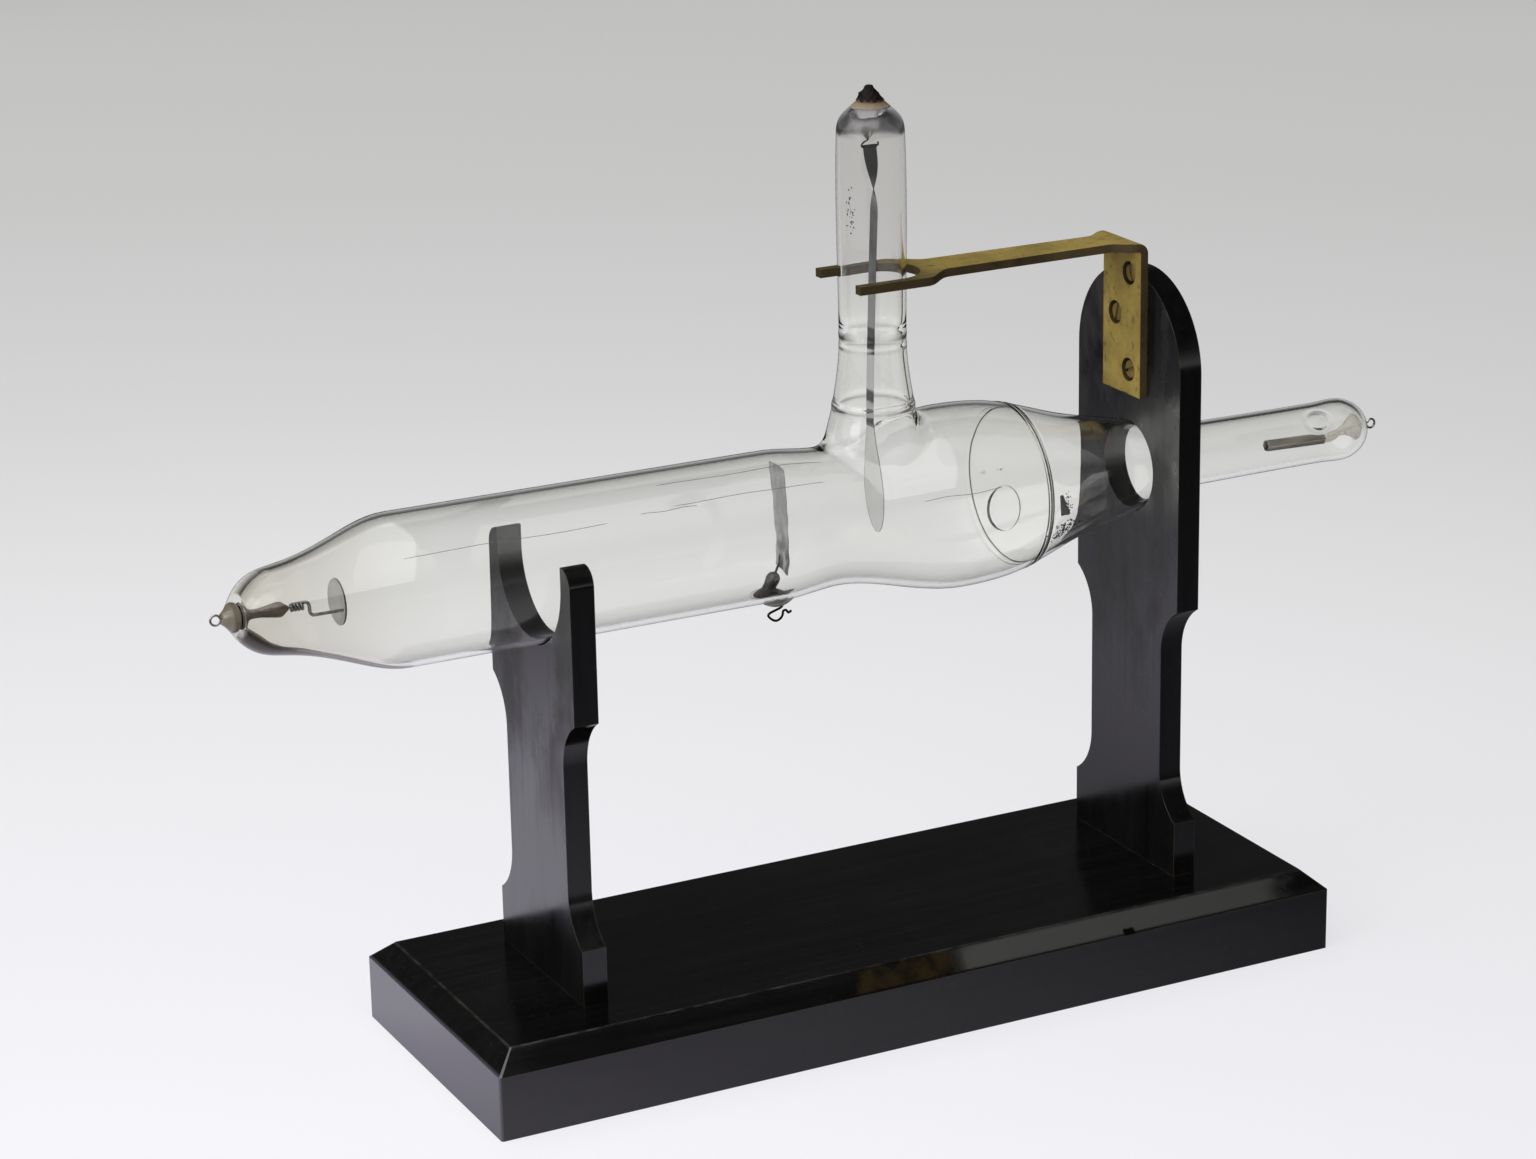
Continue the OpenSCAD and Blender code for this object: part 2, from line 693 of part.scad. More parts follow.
module hook_wire() {
  top = hook_z + 2.3;
  color("dimgray") wire([
    [side_x + nub_off, 0, top + nub_l - past - fit],
    [side_x + nub_off, 0, top - 0.4],
    [hook_mid - hook_half - 0.3, 0, hook_z + 0.9],
    [hook_mid - hook_half, 0, hook_z],
    [hook_mid + hook_half, 0, hook_z],
    [hook_mid + hook_half + 0.4, 0, hook_z + 1]
  ], hook_d);
}

// The ribbon is folded over the hook and makes a quarter turn as it hangs
eye_r = hook_d / 2 + loose;
flat_l = 1.6;

module ribbon() {
  color("dimgray") translate([hook_mid, 0, hook_z]) {
    difference() {
      union() {
        rotate([0, 90, 0]) cylinder(r = eye_r + foil_t, h = ribbon_w, center = true);
        translate([-ribbon_w / 2, -foil_t / 2, -flat_l]) cube([ribbon_w, foil_t, flat_l]);
      }
      rotate([0, 90, 0]) cylinder(r = eye_r, h = ribbon_w + past, center = true);
    }
    translate([0, 0, -flat_l - twist_l]) rotate([0, 0, 90])
      linear_extrude(twist_l, twist = 90, slices = 24, $fn = 4) square([ribbon_w, foil_t], center = true);
    translate([-foil_t / 2, -ribbon_w / 2, -ribbon_l]) cube([foil_t, ribbon_w, ribbon_l - flat_l - twist_l]);
  }
}

// The leaf is stuck to the ribbon's lower end and widens to a round foot
leaf_lap = 1;
leaf_side = [[0, ribbon_w / 2, 0.1], [leaf_l * 0.62, leaf_w / 2, 0]];

module leaf() {
  half = concat(
    [for (p = curve(leaf_side)) [p[1], -p[0]]],
    [for (k = [1 : steps]) [leaf_w / 2 * cos(90 * k / steps), -leaf_l * (0.62 + 0.38 * sin(90 * k / steps))]]);
  color("gainsboro") translate([0, 0, hook_z - ribbon_l + leaf_lap])
    across(hook_mid + foil_t / 2, foil_t) polygon(concat(half, [for (i = [len(half) - 2 : -1 : 0]) [-half[i][0], half[i][1]]]));
}

base_board();
front_upright();
rear_upright();
fork_bracket();
bracket_screws();
main_tube();
diaphragm();
tail_tube();
side_tube();
tip_wax();
nose_stem();
nose_lead();
disc_wire();
disc_electrode();
strip_stem();
strip_lead();
strip_electrode();
tail_stem();
tail_lead();
rod_electrode();
hook_stem();
hook_wire();
ribbon();
leaf();
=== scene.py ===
import math

import bmesh
import bpy
import numpy as np
from mathutils import Matrix, Vector


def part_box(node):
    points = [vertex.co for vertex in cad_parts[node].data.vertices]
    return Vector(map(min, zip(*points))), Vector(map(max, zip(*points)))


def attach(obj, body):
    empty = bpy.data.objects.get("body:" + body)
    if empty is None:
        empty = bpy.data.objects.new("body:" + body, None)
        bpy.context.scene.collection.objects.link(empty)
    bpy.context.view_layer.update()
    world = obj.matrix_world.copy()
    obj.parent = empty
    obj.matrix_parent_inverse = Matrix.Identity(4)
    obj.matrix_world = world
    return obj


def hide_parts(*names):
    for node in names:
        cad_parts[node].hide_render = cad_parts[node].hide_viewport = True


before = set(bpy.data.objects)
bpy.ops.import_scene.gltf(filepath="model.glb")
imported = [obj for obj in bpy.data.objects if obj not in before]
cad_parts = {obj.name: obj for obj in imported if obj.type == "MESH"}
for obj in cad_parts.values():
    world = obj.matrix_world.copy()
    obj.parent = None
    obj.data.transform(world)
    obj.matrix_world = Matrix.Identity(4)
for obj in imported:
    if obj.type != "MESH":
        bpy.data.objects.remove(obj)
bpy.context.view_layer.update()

MM = 0.001
scene = bpy.context.scene
scene.view_settings.view_transform = "Standard"

# Base board: a plank of black stained and polished wood, planed to a wide bevel
# round its top edge. It carries everything, and its edges are a little rubbed.
base_low, base_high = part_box("base_board")
half_l, half_w = base_high.x, base_high.y
bevel_wide, bevel_high = 5.8 * MM, 5.2 * MM
top_l, top_w = half_l - bevel_wide, half_w - bevel_wide
slope_z = base_high.z - bevel_high
base_corner = 0.7 * MM
base_edge = 0.45 * MM


def put(name, data):
    """A new object at the origin that shows a mesh, a curve, a lamp or a camera."""
    piece = bpy.data.objects.new(name, data)
    scene.collection.objects.link(piece)
    return piece


def settle(mesh):
    """Merge doubles, turn all faces outwards and shade them smooth."""
    work = bmesh.new()
    work.from_mesh(mesh)
    bmesh.ops.remove_doubles(work, verts=work.verts, dist=0.002 * MM)
    bmesh.ops.recalc_face_normals(work, faces=work.faces)
    work.to_mesh(mesh)
    work.free()
    mesh.polygons.foreach_set("use_smooth", [True] * len(mesh.polygons))


def skin(name, rings, capped=True):
    """A piece through rings of points, all with as many points; caps close both ends."""
    count = len(rings[0])
    last = (len(rings) - 1) * count
    faces = []
    for start in range(0, last, count):
        for k in range(count):
            a, b = start + k, start + (k + 1) % count
            faces.append((a, b, b + count, a + count))
    if capped:
        faces += [tuple(reversed(range(count))), tuple(range(last, last + count))]
    mesh = bpy.data.meshes.new(name)
    mesh.from_pydata([tuple(p) for ring in rings for p in ring], [], faces)
    settle(mesh)
    return put(name, mesh)


def as_made(piece):
    """A plain mesh of the piece with its modifiers applied."""
    return bpy.data.meshes.new_from_object(piece.evaluated_get(bpy.context.evaluated_depsgraph_get()))


def soften(piece, width, segments=3, crease=6):
    """Round the sharp edges; faces that meet at less than the crease angle are shaded as one."""
    bevel = piece.modifiers.new("soft_edges", "BEVEL")
    bevel.width = width
    bevel.segments = segments
    bevel.limit_method = "ANGLE"
    bevel.angle_limit = math.radians(35)
    rough_mesh = piece.data
    piece.data = as_made(piece)
    piece.data.set_sharp_from_angle(angle=math.radians(crease))
    piece.modifiers.clear()
    bpy.data.meshes.remove(rough_mesh)


def rounded_rectangle(half_x, half_y, radius, z, steps=5):
    """A ring of points at a height, with round corners."""
    ring = []
    for quarter, (sx, sy) in enumerate([(1, 1), (-1, 1), (-1, -1), (1, -1)]):
        for k in range(steps + 1):
            turn = math.radians(90 * (quarter + k / steps))
            x = sx * (half_x - radius) + radius * math.cos(turn)
            y = sy * (half_y - radius) + radius * math.sin(turn)
            ring.append((x, y, z))
    return ring


base = skin("base_plank", [rounded_rectangle(half_l, half_w, base_corner, base_low.z),
                           rounded_rectangle(half_l, half_w, base_corner, slope_z),
                           rounded_rectangle(top_l, top_w, base_corner * 0.5, base_high.z)])
soften(base, base_edge)


def material(name):
    """A new material and its node tree, which holds only a Principled shader."""
    made = bpy.data.materials.new(name)
    made.use_nodes = True
    return made, made.node_tree


def feed(tree, node, inputs):
    """Set a node's inputs; each is a value or another node's output."""
    for key, value in inputs.items():
        if isinstance(value, bpy.types.NodeSocket):
            tree.links.new(value, node.inputs[key])
        else:
            node.inputs[key].default_value = value


def add(tree, kind, inputs=None, **settings):
    """A new shader node with its settings and inputs."""
    made = tree.nodes.new("ShaderNode" + kind)
    for key, value in settings.items():
        setattr(made, key, value)
    feed(tree, made, inputs or {})
    return made


def coat(made, inputs, bumps=None):
    """The material with its shader set; bumps are the height, strength and depth of its relief."""
    tree = made.node_tree
    if bumps:
        relief = add(tree, "Bump", dict(zip(("Height", "Strength", "Distance"), bumps)))
        inputs["Normal"] = relief.outputs[0]
    feed(tree, tree.nodes["Principled BSDF"], inputs)
    return made


def calc(tree, operation, first, second=0.0):
    """One step of arithmetic."""
    return add(tree, "Math", {0: first, 1: second}, operation=operation).outputs[0]


def together(tree, first, *others):
    """Strong only where all the masks are."""
    for other in others:
        first = calc(tree, "MULTIPLY", first, other)
    return first


def vector_calc(tree, operation, first, second=(0, 0, 0)):
    """One step of arithmetic with vectors."""
    made = add(tree, "VectorMath", {0: first, 1: second}, operation=operation)
    return made.outputs["Value" if operation in ("DOT_PRODUCT", "DISTANCE") else "Vector"]


def place_on(tree):
    """X, Y and Z of a place on the piece."""
    return add(tree, "SeparateXYZ", {0: add(tree, "TexCoord").outputs["Object"]}).outputs


def noise(tree, stretch, detail=3.0, rough=0.55):
    """Noise on Object coordinates, with as many grains per metre along each axis."""
    turned = add(tree, "Mapping", {"Vector": add(tree, "TexCoord").outputs["Object"], "Scale": stretch})
    return add(tree, "TexNoise", {"Vector": turned.outputs[0], "Scale": 1.0, "Detail": detail,
                                  "Roughness": rough}).outputs["Fac"]


def ramp(tree, value, stops):
    """Colours by the value, from stops of (value, colour)."""
    made = add(tree, "ValToRGB", {"Fac": value})
    marks = made.color_ramp.elements
    for k in (0, -1):
        marks[k].position = stops[k][0]
        marks[k].color = (*stops[k][1], 1)
    for place, colour in stops[1:-1]:
        marks.new(place).color = (*colour, 1)
    return made.outputs["Color"]


def between(tree, value, low, high, least=0.0, most=1.0):
    """From least to most while the value goes from low to high."""
    return add(tree, "MapRange", {"Value": value, "From Min": low, "From Max": high,
                                  "To Min": least, "To Max": most}).outputs[0]


def window(tree, value, low, high, soft):
    """1 where the value lies between low and high, fading at both ends."""
    return together(tree, between(tree, value, low - soft, low + soft),
                    between(tree, value, high - soft, high + soft, 1.0, 0.0))


def mix(tree, amount, *colours):
    """The second colour over the first, by the amount."""
    first, second = (c if isinstance(c, bpy.types.NodeSocket) else (*c, 1) for c in colours)
    return add(tree, "Mix", {0: amount, 6: first, 7: second}, data_type="RGBA").outputs[2]


def edge_wear(tree, radius, low, high):
    """How much an edge is rubbed: where the rounded normal leaves the true one."""
    soft = add(tree, "Bevel", {"Radius": radius}, samples=4).outputs[0]
    true = add(tree, "NewGeometry").outputs["True Normal"]
    return between(tree, vector_calc(tree, "DOT_PRODUCT", soft, true), high, low)


def black_wood(name, grain, marks):
    """Stained wood under a thin polish: grain, dull patches, edges painted paler as rubbed wear and painted highlight,
    dust and marks of use.
    """
    made, tree = material(name)
    streaks = noise(tree, grain, 4.0)
    patches = noise(tree, (26, 26, 26), 2.0)
    dust = noise(tree, (1900, 1900, 1900), 0.0)
    body = ramp(tree, streaks, [(0.35, (0.0008, 0.0008, 0.001)), (0.75, (0.0045, 0.004, 0.0036))])
    # The edges are painted pale brown: partly rubbed wear, partly a painted highlight where they catch the light.
    rubbed = edge_wear(tree, 0.6 * MM, 0.90, 0.985)
    wear_and_highlight = together(tree, rubbed, between(tree, patches, 0.4, 0.6, 0.1, 0.8))
    colour = mix(tree, wear_and_highlight, body, (0.055, 0.04, 0.025))
    colour = mix(tree, between(tree, dust, 0.78, 0.84, 0.0, 0.3), colour, (0.1, 0.09, 0.08))
    rough = calc(tree, "ADD", between(tree, patches, 0.3, 0.75, 0.09, 0.19),
                 between(tree, streaks, 0.3, 0.7, -0.01, 0.03))
    for mask, stain, dullness in marks(tree):
        colour = mix(tree, mask, colour, stain)
        rough = add(tree, "Mix", {0: mask, 2: rough, 3: dullness}, data_type="FLOAT").outputs[0]
    return coat(made, {"Base Color": colour, "Roughness": rough, "IOR": 1.88}, (streaks, 0.1, 0.06 * MM))


def bevel_marks(tree):
    """The front bevel has a brown stain, a dull stretch beside it and a small chip. The rim of the top is painted
    pale, partly rubbed wear and partly a painted highlight; the left end face is painted pale bluish, a painted
    reflection. Each mark has its mask, colour and roughness."""
    where = place_on(tree)
    ragged = noise(tree, (190, 190, 190), 4.0)
    along = calc(tree, "ADD", where["X"], between(tree, ragged, 0.2, 0.8, -5 * MM, 5 * MM))
    sloped = together(tree, between(tree, where["Y"], -top_w - 0.1 * MM, -top_w - 0.7 * MM),
                      between(tree, where["Z"], slope_z + 0.2 * MM, slope_z + 0.7 * MM))
    dull = together(tree, sloped, window(tree, along, 8 * MM, 112 * MM, 6 * MM))
    brown = together(tree, sloped, window(tree, along, -21 * MM, 9 * MM, 2.5 * MM),
                     between(tree, ragged, 0.36, 0.58, 0.12, 1.0))
    # The top rim line is painted paler: partly rubbed wear, partly a painted highlight along the edge.
    rims = [window(tree, calc(tree, "ABSOLUTE", where[axis]), rim - 0.3 * MM, rim + 0.3 * MM, 0.2 * MM)
            for axis, rim in (("X", top_l), ("Y", top_w))]
    rim_wear_and_highlight = together(tree, calc(tree, "MAXIMUM", *rims),
                        between(tree, where["Z"], base_high.z - 0.6 * MM, base_high.z - 0.4 * MM),
                        between(tree, ragged, 0.38, 0.62, 0.1, 0.75))
    chip = together(tree, window(tree, where["X"], 60 * MM, 63.4 * MM, 0.3 * MM),
                    window(tree, where["Z"], slope_z - 1.2 * MM, slope_z + 1.4 * MM, 0.3 * MM),
                    between(tree, where["Y"], 2 * MM - half_w, 1.4 * MM - half_w))
    # The left end face is painted pale bluish: a painted reflection of the pale floor.
    end_face_reflection = between(tree, where["X"], 0.8 * MM - half_l, 0.2 * MM - half_l)
    return [(end_face_reflection, (0.06, 0.058, 0.072), 0.22), (rim_wear_and_highlight, (0.045, 0.039, 0.033), 0.28),
            (dull, (0.016, 0.0155, 0.014), 0.55), (brown, (0.021, 0.0135, 0.0045), 0.1),
            (chip, (0.0005, 0.0005, 0.0005), 0.1)]


def dress(piece, finishes, body, slot, *nodes):
    """Give a piece its finishes, hide the parts it stands for and hang it on the empty of its body. The slot is not
    used.
    """
    for made in finishes:
        piece.data.materials.append(made)
    if nodes:
        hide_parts(*nodes)
    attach(piece, body)


dress(base, [black_wood("black_wood_along", (14, 420, 420), bevel_marks)], "stand", "black_wood", "base_board")

# Uprights: two thin boards sawn to one pattern, with coves above the foot and below
# the head. The front one ends in a cradle, the rear one in an arch with a hole.
# Both stand glued in the base board and are stained black like it.
front_low, front_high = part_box("front_upright")
rear_low, rear_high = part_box("rear_upright")
seal_low, seal_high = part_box("diaphragm")
axis_z = (seal_low.z + seal_high.z) / 2
upright_t = front_high.x - front_low.x
upright_half = front_high.y
upright_edge = 0.5 * MM
waist_half = 18.2 * MM
cove_radius = 15.5 * MM
foot_top = base_high.z + 15.8 * MM
head_low = base_high.z + 78 * MM
tip_round = 5 * MM
cradle_radius = 20.5 * MM
hole_radius = 13.1 * MM
arch_z = rear_high.z - upright_half


def arc(centre, radius, start, end, steps=24):
    """Points on a circle from one angle in degrees to another."""
    turns = [math.radians(start + (end - start) * k / steps) for k in range(steps + 1)]
    return [(centre[0] + radius * math.cos(a), centre[1] + radius * math.sin(a)) for a in turns]


def flat_board(name, outlines, thickness, placing):
    """A board of a drawn outline with holes: x and y drawn, thickness both ways along z."""
    drawn = bpy.data.curves.new(name, "CURVE")
    drawn.dimensions = "2D"
    drawn.fill_mode = "BOTH"
    drawn.extrude = thickness / 2
    for outline in outlines:
        line = drawn.splines.new("POLY")
        line.points.add(len(outline) - 1)
        for point, place in zip(line.points, outline):
            point.co = (*place, 0, 1)
        line.use_cyclic_u = True
    sketch = put(name + "_sketch", drawn)
    mesh = as_made(sketch)
    bpy.data.objects.remove(sketch)
    mesh.name = name
    mesh.transform(placing)
    settle(mesh)
    return put(name, mesh)


def upright_side():
    """Half of the outline, from the foot up to the lower corner of the head."""
    reach = math.degrees(math.acos(1 - (upright_half - waist_half) / cove_radius))
    rise = cove_radius * math.sin(math.radians(reach))
    centre = waist_half + cove_radius
    return ([(upright_half, base_high.z), (upright_half, foot_top)]
            + arc((centre, foot_top + rise), cove_radius, 180 + reach, 180)[1:]
            + arc((centre, head_low - rise), cove_radius, 180, 180 - reach))


def mirrored(side):
    """The whole outline from its half."""
    return side + [(-y, z) for y, z in reversed(side)]


def across(low, high):
    """Placing of a drawing in the plane across the tube, midway between two places."""
    return Matrix(((0, 0, 1, (low.x + high.x) / 2), (1, 0, 0, 0), (0, 1, 0, 0), (0, 0, 0, 1)))


def handling_smudges(tree):
    """The broad faces are clouded where hands have dulled the polish, most of all near the tube."""
    height = calc(tree, "SUBTRACT", place_on(tree)["Z"], base_high.z)
    facing = add(tree, "SeparateXYZ", {0: add(tree, "NewGeometry").outputs["True Normal"]}).outputs["X"]
    broad = between(tree, calc(tree, "ABSOLUTE", facing), 0.5, 0.8)
    clouds = together(tree, broad, between(tree, noise(tree, (46, 46, 26), 5.0, 0.65), 0.42, 0.62),
                      between(tree, height, 37 * MM, 82 * MM, 0.15, 0.95))
    fibres = together(tree, broad, between(tree, noise(tree, (520, 520, 9), 3.0), 0.45, 0.7, 0.0, 0.5),
                      between(tree, height, 13 * MM, 41 * MM, 0.25, 1.0))
    return [(fibres, (0.003, 0.003, 0.0032), 0.42), (clouds, (0.008, 0.0066, 0.005), 0.66)]


front_side = (upright_side()
              + arc((upright_half - tip_round, front_high.z - tip_round), tip_round, 0, 90, 18)
              + [(cradle_radius, front_high.z)]
              + arc((0, axis_z), cradle_radius, 0, -89, 28))
rear_side = upright_side() + arc((0, arch_z), upright_half, 0, 89, 30)
rear_hole = arc((0, axis_z), hole_radius, 0, 360, 72)[:-1]
wood_up = black_wood("black_wood_up", (420, 420, 14), handling_smudges)
front = flat_board("front_upright_board", [mirrored(front_side)], upright_t, across(front_low, front_high))
rear = flat_board("rear_upright_board", [mirrored(rear_side), rear_hole], upright_t, across(rear_low, rear_high))
for board, node in ((front, "front_upright"), (rear, "rear_upright")):
    soften(board, upright_edge)
    dress(board, [wood_up], "stand", "black_wood", node)

# Fork: one strip of sheet brass, sawn to a fork at one end, bent once and screwed to
# the rear upright. Its lacquer has gone dull and olive, with dark sawn edges.
fork_low, fork_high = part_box("fork_bracket")
side_low, side_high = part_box("side_tube")
side_x = (side_low.x + side_high.x) / 2
sheet = 2.3 * MM
sawn_edge = 0.22 * MM
bend_radius = 3 * MM - sheet / 2
plate_half, arm_half, neck_half = 9.6 * MM, 5.7 * MM, 6.3 * MM
flare_l, shoulder_l = 7 * MM, 10 * MM
shoulder_x = side_x + 20 * MM
prong_out = fork_high.y
slot_half, slot_end = 9.8 * MM, 13.2 * MM
screw_hole = 3.25 * MM
screw_places = [(-3.5 * MM, 7 * MM), (3.5 * MM, 21.75 * MM), (-3.5 * MM, 34.2 * MM)]

# The strip is drawn flat, u from the plate's foot to the prongs' tips
plate_l = fork_high.z - fork_low.z - bend_radius - sheet / 2
bend_l = bend_radius * math.pi / 2
arm_start = plate_l + bend_l
bend_x = rear_low.x - sheet / 2 - bend_radius


def flat_u(x):
    """The place of x on the flat strip's arm."""
    return arm_start + bend_x - x


def swept(start, length, first, last, steps):
    """An edge that swings from one half width to another."""
    return [(start + length * k / steps, first + (last - first) * (1 - math.cos(math.pi * k / steps)) / 2)
            for k in range(steps + 1)]


tip_u = flat_u(fork_low.x)
slot_u = flat_u(side_x + slot_end - slot_half)
strip_side = ([(0, plate_half)] + swept(arm_start, flare_l, plate_half, arm_half, 8)
              + swept(flat_u(shoulder_x), shoulder_l, neck_half, prong_out, 10)
              + [(tip_u, prong_out), (tip_u, slot_half)]
              + [(slot_u - dy, dx) for dx, dy in arc((0, 0), slot_half, 0, 89, 18)])
strip_line = strip_side + [(u, -v) for u, v in reversed(strip_side)]
holes = [arc((u, v), screw_hole, 0, 360, 32)[:-1] for v, u in screw_places]
fork = flat_board("brass_fork", [strip_line] + holes, sheet, Matrix())


def mark_edges(piece, axis, limit):
    """Set aside the faces that don't look along the axis for the second finish."""
    for polygon in piece.data.polygons:
        polygon.material_index = int(abs(polygon.normal[axis]) < limit)


def bend_strip(mesh):
    """Cut the flat strip across its bend and fold it up against the upright."""
    work = bmesh.new()
    work.from_mesh(mesh)
    for u in [plate_l - MM] + [plate_l + bend_l * k / 8 for k in range(9)] + [arm_start + MM]:
        parts = work.verts[:] + work.edges[:] + work.faces[:]
        bmesh.ops.bisect_plane(work, geom=parts, plane_co=(u, 0, 0), plane_no=(1, 0, 0), dist=0.001 * MM)
    for vert in work.verts:
        u, v, w = vert.co
        turn = min(max((u - plate_l) / bend_radius, 0), math.pi / 2)
        reach = bend_radius + w
        x = bend_x + reach * math.cos(turn) - max(u - arm_start, 0)
        z = fork_low.z + min(u, plate_l) + reach * math.sin(turn)
        vert.co = (x, v, z)
    bmesh.ops.recalc_face_normals(work, faces=work.faces)
    work.to_mesh(mesh)
    work.free()


mark_edges(fork, 2, 0.5)
bend_strip(fork.data)
soften(fork, sawn_edge, 2, 18)


def dull_brass(name, along, pale, dark, gloss):
    """Old lacquered brass: fine scratches along the strip, brown spots, dark edges, browner prongs."""
    made, tree = material(name)
    scratches = noise(tree, along, 3.0)
    clouds = noise(tree, (60, 60, 60), 5.0, 0.7)
    spots = noise(tree, (420, 420, 420), 3.0)
    colour = ramp(tree, clouds, [(0.32, dark), (0.68, pale)])
    colour = mix(tree, between(tree, spots, 0.58, 0.72, 0.0, 0.7), colour, (0.09, 0.06, 0.02))
    prongs = between(tree, place_on(tree)["X"], side_x + 24 * MM, side_x + 4 * MM, 0.0, 0.92)
    colour = mix(tree, prongs, colour, (0.06, 0.043, 0.014))
    dim = together(tree, edge_wear(tree, 0.45 * MM, 0.86, 0.97), between(tree, clouds, 0.35, 0.6, 0.4, 0.9))
    colour = mix(tree, dim, colour, (0.05, 0.036, 0.014))
    rough = between(tree, scratches, 0.3, 0.7, gloss - 0.08, gloss + 0.12)
    return coat(made, {"Base Color": colour, "Roughness": rough, "Metallic": 0.2, "Specular IOR Level": 0.3},
                (scratches, 0.25, 0.03 * MM))


dress(fork, [dull_brass("lacquered_brass", (60, 1400, 300), (0.5, 0.37, 0.09), (0.27, 0.195, 0.046), 0.42),
             dull_brass("sawn_brass_edge", (500, 500, 500), (0.1, 0.072, 0.03), (0.04, 0.028, 0.012), 0.5)],
      "stand", "sheet_brass", "fork_bracket")

# Bracket screws: three slotted wood screws with countersunk heads, sunk a little
# below the plate's face. They are alike, so one head is set on three points.
head_radius = 2.5 * MM
head_depth = 1.5 * MM
head_sink = 0.6 * MM
slot_bar_half = (head_depth * 0.4, 0.38 * MM, head_radius * 1.2)
screw_turns = (1.2, 0.25, -0.35)


def around(count):
    """So many angles, evenly round a full turn."""
    return np.linspace(0, 2 * math.pi, count + 1)[:-1]


def ring_x(x, y, z, radius, turns):
    """Points round a line along X."""
    return [(x, y + radius * math.cos(a), z + radius * math.sin(a)) for a in turns]


def combined(piece, other, operation):
    """A plain mesh of two pieces welded, or of one cut by the other; both are used up."""
    change = piece.modifiers.new("change", "BOOLEAN")
    change.object = other
    change.operation = operation
    mesh = as_made(piece)
    for used in (other, piece):
        bpy.data.objects.remove(used)
    return mesh


def slotted_head():
    """A head facing -X with its face at the origin, as a plain mesh."""
    profile = [(0.001, head_depth), (0.5, head_depth), (1.0, 0.18 * MM), (0.96, 0.04 * MM), (0.9, 0.0), (0.001, 0.0)]
    head = skin("screw_head", [ring_x(depth, 0, 0, share * head_radius, around(39)) for share, depth in profile])
    x, y, z = slot_bar_half
    slot_bar = skin("slot_bar", [[(sx * x, sy * y, sz * z) for sy, sz in ((-1, -1), (1, -1), (1, 1), (-1, 1))]
                                 for sx in (-1, 1)])
    mesh = combined(head, slot_bar, "DIFFERENCE")
    mesh.polygons.foreach_set("use_smooth", [False] * len(mesh.polygons))
    return mesh


def set_out_tree():
    """Nodes that set one pattern on each point, by the point's own turn and size."""
    tree = bpy.data.node_groups.new("set_out", "GeometryNodeTree")
    for label, way, kind in (("Points", "INPUT", "Geometry"), ("Pattern", "INPUT", "Object"),
                             ("Finish", "INPUT", "Material"), ("Pieces", "OUTPUT", "Geometry")):
        tree.interface.new_socket(label, in_out=way, socket_type="NodeSocket" + kind)
    entry, leave = tree.nodes.new("NodeGroupInput"), tree.nodes.new("NodeGroupOutput")
    info, set_on, real, paint = (tree.nodes.new("GeometryNode" + kind) for kind in (
        "ObjectInfo", "InstanceOnPoints", "RealizeInstances", "SetMaterial"))
    for name, kind, target in (("turn", "FLOAT_VECTOR", "Rotation"), ("size", "FLOAT", "Scale")):
        own = tree.nodes.new("GeometryNodeInputNamedAttribute")
        own.data_type = kind
        own.inputs["Name"].default_value = name
        tree.links.new(own.outputs["Attribute"], set_on.inputs[target])
    for source, output, target, socket in (
            (entry, "Points", set_on, "Points"), (entry, "Pattern", info, "Object"),
            (info, "Geometry", set_on, "Instance"), (set_on, "Instances", real, "Geometry"),
            (real, "Geometry", paint, "Geometry"), (entry, "Finish", paint, "Material"),
            (paint, "Geometry", leave, "Pieces")):
        tree.links.new(source.outputs[output], target.inputs[socket])
    return tree


set_out_nodes = set_out_tree()


def set_out(name, places, turns, sizes, pattern, made):
    """The pattern on every place, by its turn and size, as a plain mesh with one finish."""
    points = bpy.data.meshes.new(name)
    points.from_pydata(places, [], [])
    flat_turns = [value for turn in turns for value in turn]
    points.attributes.new("turn", "FLOAT_VECTOR", "POINT").data.foreach_set("vector", flat_turns)
    points.attributes.new("size", "FLOAT", "POINT").data.foreach_set("value", sizes)
    piece = put(name, points)
    growth = piece.modifiers.new("growth", "NODES")
    growth.node_group = set_out_nodes
    values = {"Pattern": pattern, "Finish": made}
    for item in set_out_nodes.interface.items_tree:
        if item.in_out == "INPUT" and item.name in values:
            growth[item.identifier] = values[item.name]
    mesh = as_made(piece)
    piece.modifiers.remove(growth)
    piece.data = mesh
    bpy.data.objects.remove(pattern)
    return piece


screw_metal = dull_brass("worn_screw_brass", (500, 500, 500), (0.3, 0.21, 0.06), (0.13, 0.09, 0.026), 0.34)
screws = set_out("bracket_screw_heads",
                 [(rear_low.x - sheet + head_sink, v, fork_low.z + u) for v, u in screw_places],
                 [(turn, 0, 0) for turn in screw_turns], [1.0] * len(screw_turns),
                 put("screw_pattern", slotted_head()), screw_metal)
dress(screws, [], "stand", "screw_brass", "bracket_screws")

